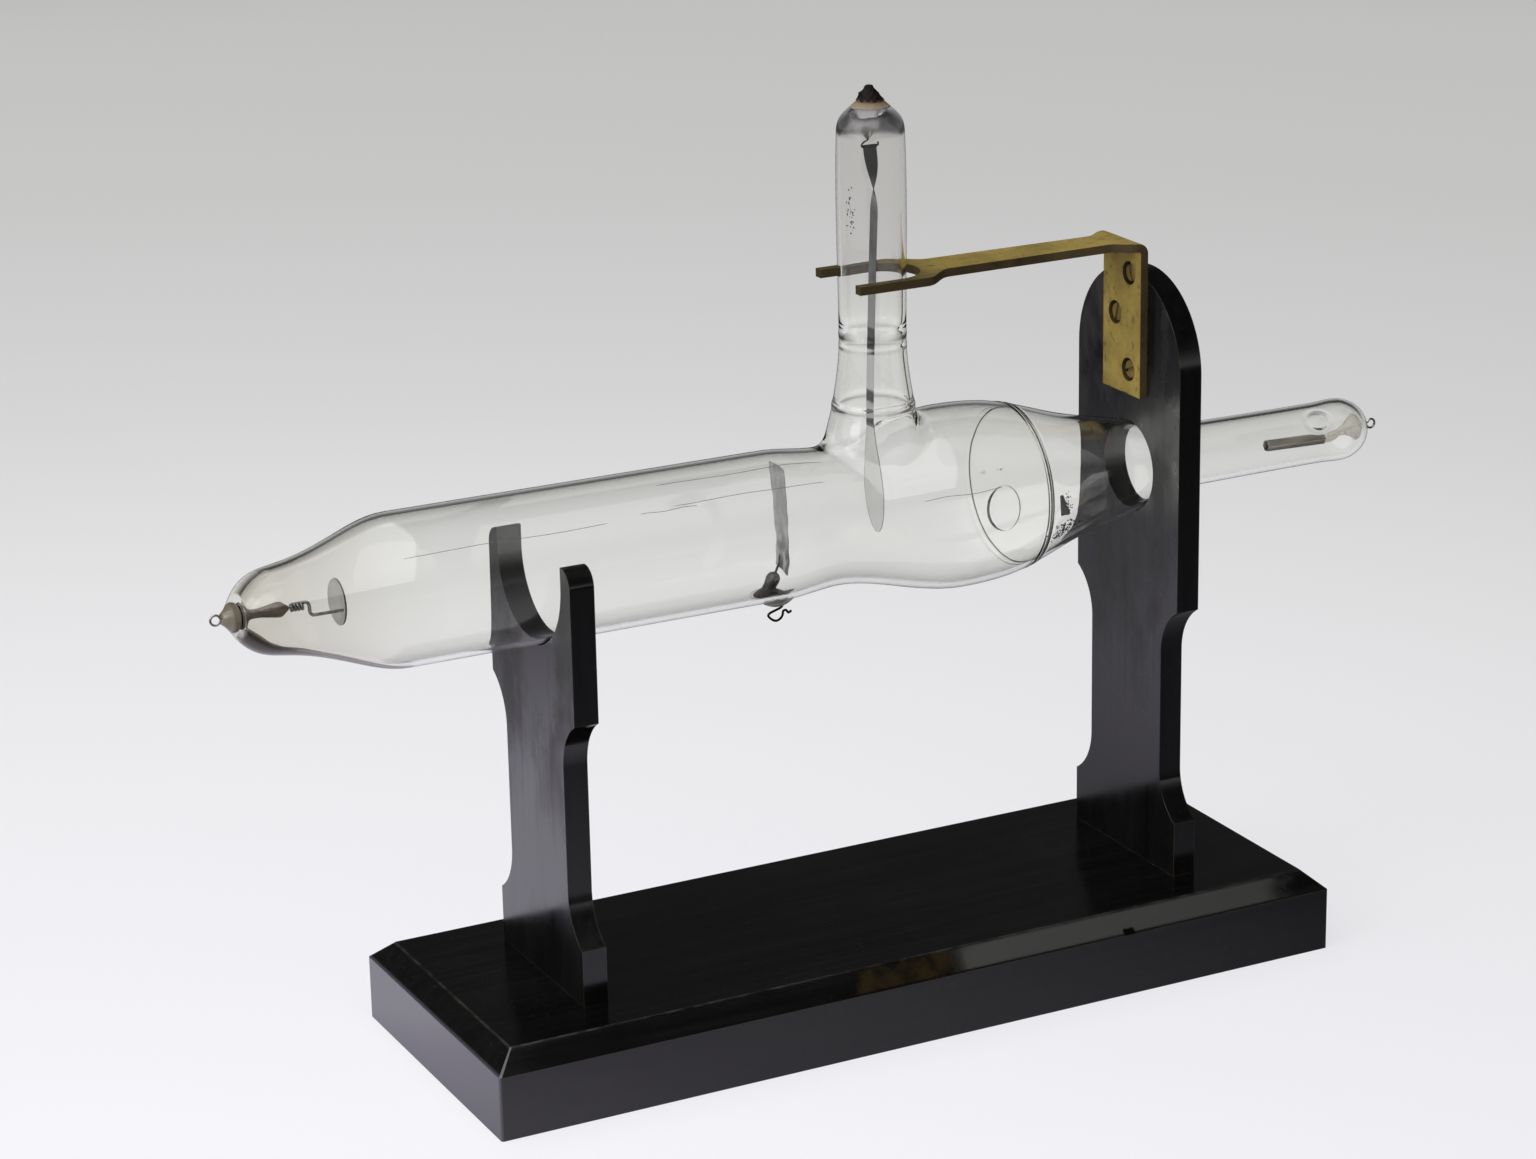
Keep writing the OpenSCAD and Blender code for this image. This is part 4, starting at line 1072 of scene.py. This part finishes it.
strip_low, strip_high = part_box("strip_electrode")
strip_x = (strip_low.x + strip_high.x) / 2
strip_half_foot, strip_flare = 3.3 * MM, 1.05 * MM
strip_half_t = 0.15 * MM
strip_edge = 0.06 * MM
strip_rows, strip_columns = 36, 8
strip_rings = []
for k in range(strip_rows + 1):
    share = k / strip_rows
    half = strip_half_foot + strip_flare * share + 0.1 * MM * math.sin(17 * share)
    middle = (-1.3 + 1.25 * share) * MM
    faces = {-1: [], 1: []}
    for j in range(strip_columns + 1):
        part = 2 * j / strip_columns - 1
        slant = 0.7 * MM * part * (1 - share) + 0.5 * MM * min(0.0, part) * max(0.0, (share - 0.9) / 0.1)
        z = strip_low.z + (strip_high.z - strip_low.z) * share + slant
        crumple = 0.22 * math.sin(9 * share + 2.2 * part) * math.sin(23 * share - 1.4 * part) * (1.2 - share)
        x = strip_x + (0.5 * math.sin(3.2 * share + 0.6) - 0.45 + crumple) * MM
        for side in faces:
            faces[side].append((x + side * strip_half_t, middle + half * part, z))
    strip_rings.append(faces[-1] + faces[1][::-1])
strip = skin("strip_sheet", strip_rings)
soften(strip, strip_edge, 1, 36)


def strip_smudges(tree):
    """The strip's lower end is blotched black near its lead."""
    blotches = between(tree, noise(tree, (450, 450, 200), 4.0), 0.42, 0.58, 0.0, 0.9)
    lower = between(tree, place_on(tree)["Z"], strip_low.z + 4 * MM, strip_low.z + 14 * MM, 1.0, 0.0)
    return [(together(tree, lower, blotches), (0.03, 0.03, 0.03))]


strip_metal = metal("crumpled_aluminium", (0.26, 0.26, 0.26), (0.5, 0.5, 0.49), 0.42, (300, 260, 120), 0.45,
                    strip_smudges)
dress(strip, [strip_metal], "tube", "aluminium", "strip_electrode")

foot_wire = [foot + stem_axis * (l * MM) for l in (9.4, 7.6, 3.0, -1.0)]
climb = [Vector((strip_x + x * MM, 0, foot_wire[0].z + z * MM)) for x, z in ((-0.4, 3.2), (-0.5, 0.9))]
loop_way = [(2.4, -0.1, -1.5), (4.2, -0.2, -1.9), (5.0, -0.3, -2.6), (4.4, -0.4, -3.1), (2.8, -0.45, -3.6),
            (1.2, -0.5, -4.1), (0.7, -0.55, -4.8), (1.7, -0.58, -5.9), (3.0, -0.6, -6.5), (4.3, -0.65, -6.0),
            (4.9, -0.75, -5.0), (5.0, -0.9, -4.0), (5.8, -1.0, -3.8), (6.5, -1.0, -4.6), (7.4, -1.0, -4.2)]
strip_way = eased(climb + foot_wire + [foot + Vector(step) * MM for step in loop_way], 5)
strip_sizes = [0.1 * MM + 0.23 * MM * min(1.0, i / 8) for i in range(len(strip_way))]
strip_lead = wire("strip_lead_wire", strip_way, strip_sizes)
dress(strip_lead, [metal("dark_wire", (0.008, 0.007, 0.006), (0.03, 0.028, 0.025), 0.35)],
      "tube", "lead_wire", "strip_lead")

# Rod: a rolled tube of sheet aluminium on the lead of the narrow end, held by a stem
# of thick clear glass that was drawn in from the rounded end.
rod_low, rod_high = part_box("rod_electrode")
rod_radius = 1.2 * (rod_high.z - rod_low.z) / 2
rod_edge = 0.16 * MM
rod_profile = [(3, 0.6), (0.3, 0.6), (0, 0.78), (0.2, 1.0), (19.3, 1.0), (19.5, 0.85)]
rod_turns = [math.radians(60 * k - 10) for k in range(6)]
stem_steps = 24
stem_waist = 0.45


def rod_line(x):
    """The rod sits a little below the tube's middle and droops towards the stem."""
    return axis_z - 1.5 * MM - 0.03 * (x - rod_low.x)


def rod_underside_shade(tree):
    """The rod's underside is painted nearly black: painted shade under the rod."""
    # Painted shade: darker towards the underside.
    lower = between(tree, place_on(tree)["Z"], axis_z - 1.4 * MM, axis_z - 2.4 * MM, 0.0, 0.85)
    return [(lower, (0.045, 0.04, 0.034))]


rod_places = [(rod_low.x + along * MM, share * rod_radius) for along, share in rod_profile]
rod = skin("rod_folded_sheet", [ring_x(x, 0, rod_line(x), r, rod_turns) for x, r in rod_places])
soften(rod, rod_edge, 2)
rod_metal = metal("rolled_sheet", (0.22, 0.2, 0.165), (0.44, 0.41, 0.34), 0.42, (90, 700, 700), 0.6, rod_underside_shade)
dress(rod, [rod_metal], "tube", "aluminium", "rod_electrode")

stem_way, stem_sizes = [], []
stem_start = rod_line(rod_high.x)
for k in range(stem_steps + 1):
    share = k / stem_steps
    ease = share * share * (3 - 2 * share)
    x = rod_high.x - 0.2 * MM + (dome_x + 0.8 * tail_bore - rod_high.x) * share
    stem_way.append(Vector((x, 0, stem_start + (axis_z - 0.2 * MM - stem_start) * ease)))
    flare = 3.2 * (max(0.0, share - stem_waist) / (1 - stem_waist)) ** 1.6
    stem_sizes.append((1.25 + 0.35 * math.sin(7 * min(share, stem_waist)) - 0.5 * ease + flare) * MM)
tail_stem = wire("tail_stem_glass", stem_way, stem_sizes, 40)


def see_through(name, grain, dark, pale, dullest, clear, bending):
    """A pale piece that lets light through, with clouds in its colour and gloss."""
    return cloudy(name, grain, dark, pale, (0.12, dullest), {"Transmission Weight": clear, "IOR": bending})


tail_stem.visible_shadow = False
dress(tail_stem, [see_through("milky_glass", (140, 260, 260), (0.72, 0.69, 0.6), (0.9, 0.88, 0.82), 0.35, 0.35, 1.46)],
      "tube", "dark_glass", "tail_stem")

tail_loop = terminal_loop(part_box("tail_lead")[1].x - loop_radius - lead_radius, 200)
tail_lead = wire("tail_lead_wire", stem_way[2::3] + [Vector((tail_x, 0, axis_z))] + tail_loop, lead_radius)
dress(tail_lead, [lead_metal], "tube", "lead_wire", "tail_lead")

# Hook: a bent steel wire that hangs from the small nub of glass under the side tube's
# ceiling. Its straight bar carries the ribbon.
hook_radius = 0.25 * MM
hook_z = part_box("hook_wire")[0].z + hook_radius
hook_mid = side_x - 0.2 * MM
hook_half = 2.26 * MM
hook_left, hook_right = hook_mid - hook_half, hook_mid + hook_half
hook_path = eased([Vector((x, 0, z)) for x, z in (
    (nub_x, nub_low.z + 0.8 * MM), (nub_x - 0.05 * MM, nub_low.z - 0.3 * MM),
    (hook_left + 0.5 * MM, hook_z + 1.3 * MM), (hook_left - 0.1 * MM, hook_z + 0.6 * MM),
    (hook_left + 0.3 * MM, hook_z), (hook_right - 0.3 * MM, hook_z),
    (hook_right + 0.2 * MM, hook_z + 0.5 * MM), (hook_right + 0.1 * MM, hook_z + 1.1 * MM))])
hook = wire("hook_wire_bent", hook_path, hook_radius * 0.96)
dress(hook, [metal("hook_steel", (0.01, 0.01, 0.012), (0.045, 0.045, 0.045), 0.4)], "tube", "lead_wire", "hook_wire")

# Ribbon: a strip of dark foil folded loosely over the hook, so that it swings freely.
# It is twisted a quarter turn as it hangs.
ribbon_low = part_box("ribbon")[0].z
ribbon_half = 1.95 * MM
foil_half_t = 0.1 * MM
foil_edge = 0.03 * MM
fold_radius, fold_wall = 0.43 * MM, 0.12 * MM
ribbon_top = hook_z - 0.42 * MM
ribbon_steps = 60
twist_top = hook_z - 1.6 * MM
twist_l = 16 * MM
ribbon_end_sway = -0.9
ribbon_sway = smooth([(0, 0, 6), (0.14, 1.1, 0), (0.45, 0.3, -2.5), (1, ribbon_end_sway, -0.6)])
ribbon_rings = []
for k in range(ribbon_steps + 1):
    down = (k / ribbon_steps) ** 1.4
    z = ribbon_top + (ribbon_low - ribbon_top) * down
    share = min(max((twist_top - z) / twist_l, 0), 1)
    turn = math.pi / 2 * share * share * (3 - 2 * share)
    along = Vector((math.cos(turn), math.sin(turn), 0)) * ribbon_half
    thick = Vector((-math.sin(turn), math.cos(turn), 0)) * foil_half_t
    middle = Vector((hook_mid + float(ribbon_sway(np.array([down]))[0]) * MM, 0, z))
    ribbon_rings.append([middle + along + thick, middle - along + thick,
                         middle - along - thick, middle + along - thick])
ribbon = skin("foil_ribbon", ribbon_rings)
fold = skin("foil_fold", [ring_x(hook_mid + side * ribbon_half, 0, hook_z, fold_radius, around(24))
                          for side in (-1, 1)], capped=False)
fold_sheet = fold.modifiers.new("foil", "SOLIDIFY")
fold_sheet.thickness = fold_wall
fold_sheet.offset = 0


def foil_bands(tree):
    """Two pale stretches between blackened ones near the foil's lower end, by height over the tube."""
    height = place_on(tree)["Z"]
    bands = [(86, 102, 0.035), (49.8, 60, 0.24), (43.9, 49.6, 0.03), (33.1, 43.6, 0.5), (30, 32.8, 0.05),
             (26.6, 29.8, 0.45), (24, 26.3, 0.06)]
    return [(window(tree, height, axis_z + low * MM, axis_z + high * MM, 0.4 * MM), (grey, grey, grey))
            for low, high, grey in bands]


dark_foil = cloudy("dark_foil", (60, 60, 75), (0.05, 0.05, 0.053), (0.26, 0.26, 0.26), (0.34, 0.52),
                   {"Metallic": 0.6}, marks=foil_bands)
for piece, nodes in ((ribbon, ["ribbon"]), (fold, [])):
    soften(piece, foil_edge, 1, 36)
    dress(piece, [dark_foil], "vane", "dark_foil", *nodes)

# Leaf: a thin pale blade like mica, round at its foot, with dark cut edges.
# It is stuck face to face on the ribbon's lower end.
leaf_low, leaf_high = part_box("leaf")
leaf_l = leaf_high.z - leaf_low.z
leaf_half = (leaf_high.y - leaf_low.y) / 2
leaf_straight = 0.62
leaf_bow = 1.3 * MM
leaf_edge = 0.06 * MM
leaf_side = smooth([(0, ribbon_half, 0.1), (leaf_straight * leaf_l, leaf_half, 0)])
drops = np.linspace(0, leaf_straight * leaf_l, 20)
leaf_right = [(float(h), leaf_high.z - float(d)) for d, h in zip(drops, leaf_side(drops))]
leaf_right += [(leaf_half * math.cos(a), leaf_high.z - leaf_l * (leaf_straight + (1 - leaf_straight) * math.sin(a)))
               for a in np.linspace(0, math.pi / 2, 14)[1:-1]]
leaf = flat_board("mica_leaf", [mirrored(leaf_right)], leaf_high.x - leaf_low.x, across(leaf_low, leaf_high))
for vert in leaf.data.vertices:
    vert.co.x += ribbon_end_sway * MM + leaf_bow * ((leaf_high.z - vert.co.z) / leaf_l) ** 1.5
soften(leaf, leaf_edge, 1, 36)
mark_edges(leaf, 0, 0.85)
dress(leaf, [see_through("pale_mica", (120, 120, 60), (0.68, 0.68, 0.675), (0.84, 0.84, 0.83), 0.3, 0.85, 1.3),
             burnt_glass("cut_mica_edge", (0.06, 0.06, 0.06), (0.18, 0.18, 0.18))], "vane", "pale_leaf", "leaf")

# Film: dark flakes of metal thrown from the electrodes on the inside of the glass, specks
# of dust, and fine lines where the tubing was drawn.
flake_outline = [(0.5, 0.1), (0.28, 0.42), (-0.2, 0.38), (-0.5, 0.05), (-0.22, -0.4), (0.3, -0.32)]
flake_half_t = 0.02
film_gap, patch_depth, line_gap = 0.03 * MM, 0.08 * MM, 0.02 * MM
patch_outline = [(3.6, 5), (4.8, 5), (5.6, 0), (6.2, -5), (7.6, -9), (7.5, -13), (4.2, -11)]
line_radius = 0.07 * MM
line_steps = 29
line_places = [(42, -134, -78), (45, -68, -52), (48, -58, -14), (70, -60, -12), (18, 12, 34)]
chance = np.random.default_rng(7)
flakes = []


def on_wall(x, turn, depth):
    """A point on the inside of the tube, by x and the turn up from -Y."""
    r = bore(x) - depth
    return Vector((x, -r * math.cos(turn), axis_z + r * math.sin(turn)))


def strew(count, x, turn, size):
    """Flakes on the inside of the tube; x and turn are the middle and the spread."""
    for _ in range(count):
        at = x[0] + x[1] * chance.normal()
        angle = math.radians(turn[0] + turn[1] * chance.normal())
        flakes.append((on_wall(at, angle, film_gap), (math.pi / 2 - angle, 0, 0), chance.uniform(*size)))


def strew_side(count, turn, height, size):
    """Flakes on the inside of the side tube; turn and height are the middle and the spread."""
    r = side_radius - wall - film_gap
    for _ in range(count):
        angle = math.radians(turn[0] + turn[1] * chance.normal())
        z = height[0] + height[1] * chance.normal()
        flakes.append(((side_x + r * math.cos(angle), r * math.sin(angle), z), (0, math.pi / 2, angle),
                       chance.uniform(*size)))


strew(60, (joint_x + 6.8 * MM, 1.1 * MM), (-5, 5), (0.16, 0.62))
strew(110, (joint_x + 6.3 * MM, 2.4 * MM), (-25, 3.5), (0.2, 0.75))
strew(12, (side_x + 22 * MM, 1.2 * MM), (30, 0.6), (0.1, 0.28))
strew(12, (side_x + 26.5 * MM, 1.2 * MM), (30, 0.6), (0.1, 0.28))
strew(70, (joint_x + 14 * MM, 7 * MM), (0, 34), (0.06, 0.18))
strew(60, (side_x - 40 * MM, 45 * MM), (20, 40), (0.05, 0.14))
strew_side(44, (201, 5), (220 * MM, 3.6 * MM), (0.16, 0.6))
strew_side(50, (240, 40), (210 * MM, 16 * MM), (0.05, 0.14))
flake_pattern = skin("flake_pattern", [[(x * MM, y * MM, z * MM) for x, y in flake_outline]
                                       for z in (-flake_half_t, flake_half_t)])
film_metal = metal("dark_film", (0.012, 0.011, 0.01), (0.06, 0.057, 0.05), 0.4, bare=0.5)
film = set_out("film_flakes", *zip(*flakes), flake_pattern, film_metal)
dress(film, [], "tube", "dark_foil")

patch = skin("film_patch", [[on_wall(joint_x + offset * MM, math.radians(turn), depth)
                             for offset, turn in patch_outline] for depth in (film_gap, patch_depth)])
dress(patch, [film_metal], "tube", "dark_foil")

drawn_lines = []
for turn, start, end in line_places:
    way = [on_wall(x, math.radians(turn + 0.5 * math.sin(9 * k / line_steps + turn)), line_gap)
           for k, x in enumerate(np.linspace(start * MM, end * MM, line_steps + 1))]
    drawn_lines.append(wire("drawn_line", way, line_radius, 5))
lines = joined("drawn_lines", [line.data for line in drawn_lines])
for line in drawn_lines:
    bpy.data.objects.remove(line)
dress(lines, [burnt_glass("line_glass", (0.12, 0.12, 0.11), (0.3, 0.3, 0.29))], "tube", "clear_glass")

# Camera: at the photograph's viewing angle and distance, fitted to the base board's
# corners, with a long lens that is turned a little about its own axis.
view_turn, view_rise, view_roll = (math.radians(angle) for angle in (-26.708, 18.166, -1.134))
view_distance = 1084.05 * MM
view_target = Vector((-24.915, 0, 122.083)) * MM
sensor, image_width, focal_pixels = 36, 1536, 4060.83
back = Vector((math.sin(view_turn) * math.cos(view_rise), -math.cos(view_turn) * math.cos(view_rise),
               math.sin(view_rise)))
right = Vector((math.cos(view_turn), math.sin(view_turn), 0))
up = back.cross(right)
rolled_right = math.cos(view_roll) * right + math.sin(view_roll) * up
rolled_up = -math.sin(view_roll) * right + math.cos(view_roll) * up
lens = bpy.data.cameras.new("photo_camera")
lens.sensor_fit = "HORIZONTAL"
lens.sensor_width = sensor
lens.lens = sensor * focal_pixels / image_width
camera = put("photo_camera", lens)
placed = Matrix((rolled_right, rolled_up, back)).transposed().to_4x4()
placed.translation = view_target + back * view_distance
camera.matrix_world = placed
scene.camera = camera

# Studio: a pale sweep that glows, with a painted pool of light that darkens away from the object and a painted
# reflection shade that darkens it to reflections away from a spot beside the base; one large soft light above and
# to the left, a smaller one beside it, and a dim room with a pale band at the horizon.
floor_half = 12.0
floor_glow = 0.75
floor_mesh = bpy.data.meshes.new("studio_floor")
floor_mesh.from_pydata([(x * floor_half, y * floor_half, 0) for x, y in ((-1, -1), (1, -1), (1, 1), (-1, 1))],
                       [], [(0, 1, 2, 3)])
floor = put("studio_floor", floor_mesh)
floor_paint, paper = material("studio_paper")
paper.nodes.clear()
pale_spot = Vector((back.x, back.y, 0)) * 0.3 - right * 0.12
dark_spot = Vector((-0.207, 0.108, 0))


def floor_shades(centre, reach, stops):
    """Shades by distance from a place on the floor."""
    away = vector_calc(paper, "DISTANCE", add(paper, "TexCoord").outputs["Object"], tuple(centre))
    return ramp(paper, between(paper, away, 0.0, reach), [(place / reach, shade) for place, shade in stops])


# Painted pool of light: the floor's colour falls off with distance from a spot by the object.
floor_light_pool = floor_shades(pale_spot, 6.0, [
    (0, (0.97, 0.96, 1.0)), (0.2, (0.95, 0.94, 0.98)), (0.3, (0.92, 0.915, 0.955)), (0.45, (0.89, 0.887, 0.915)),
    (0.6, (0.85, 0.85, 0.865)), (0.7, (0.81, 0.81, 0.82)), (0.9, (0.73, 0.73, 0.735)), (1.04, (0.7, 0.7, 0.7)),
    (1.3, (0.66, 0.66, 0.655)), (1.8, (0.655, 0.65, 0.645)), (2.1, (0.6, 0.595, 0.59)), (2.8, (0.57, 0.57, 0.565)),
    (5.5, (0.54, 0.54, 0.535))])
# Painted reflection: to reflections, the floor shows darker away from a spot beside the base's left end.
reflection_shade = floor_shades(dark_spot, 1.0, [
    (0, (0.94, 0.91, 1)), (0.095, (0.94, 0.91, 1)), (0.117, (0.73, 0.7, 0.8)), (0.16, (0.57, 0.55, 0.62)),
    (0.22, (0.38, 0.365, 0.4)), (0.33, (0.22, 0.215, 0.235)), (0.42, (0.08, 0.08, 0.09)), (0.9, (0.03, 0.03, 0.03))])
rays = add(paper, "LightPath").outputs
direct = calc(paper, "MAXIMUM", rays["Is Camera Ray"], rays["Is Transmission Ray"])
seen = calc(paper, "MAXIMUM", direct, rays["Is Glossy Ray"])
reflected = calc(paper, "SUBTRACT", seen, direct)
shade = add(paper, "Mix", {0: 1.0, 6: floor_light_pool, 7: mix(paper, reflected, (1, 1, 1), reflection_shade)},
            data_type="RGBA", blend_type="MULTIPLY").outputs[2]
matt = add(paper, "BsdfDiffuse", {"Color": shade})
glow = add(paper, "Emission", {"Color": shade, "Strength": 1.0})
both_sides = add(paper, "MixShader", {0: calc(paper, "MULTIPLY", seen, floor_glow), 1: matt.outputs[0],
                                      2: glow.outputs[0]})
add(paper, "OutputMaterial", {"Surface": both_sides.outputs[0]})
floor.data.materials.append(floor_paint)


def soft_light(name, place, aim, size, power):
    """A large flat lamp that looks at a place."""
    lamp = bpy.data.lights.new(name, "AREA")
    lamp.shape = "RECTANGLE"
    lamp.size, lamp.size_y = size
    lamp.energy = power
    made = put(name, lamp)
    made.location = place
    made.rotation_euler = (Vector(aim) - Vector(place)).to_track_quat("-Z", "Y").to_euler()


soft_light("soft_box_above", (-1.55, -0.65, 1.4), (-1.55, -0.65, 0), (3.7, 3.7), 66)
soft_light("soft_box_left", (-1.3, -0.3, 0.75), (0, 0, 0.12), (0.7, 0.8), 4)
room = bpy.data.worlds.new("dim_room")
room.use_nodes = True
sky = room.node_tree
sky_rise = add(sky, "SeparateXYZ", {0: add(sky, "TexCoord").outputs["Generated"]}).outputs["Z"]
band = ramp(sky, between(sky, sky_rise, 0.0, 0.5), [
    (place, (grey, grey, grey)) for place, grey in ((0.0, 0.43), (0.3, 0.16), (0.55, 0.05), (1.0, 0.02))])
feed(sky, sky.nodes["Background"], {"Color": band})
scene.world = room
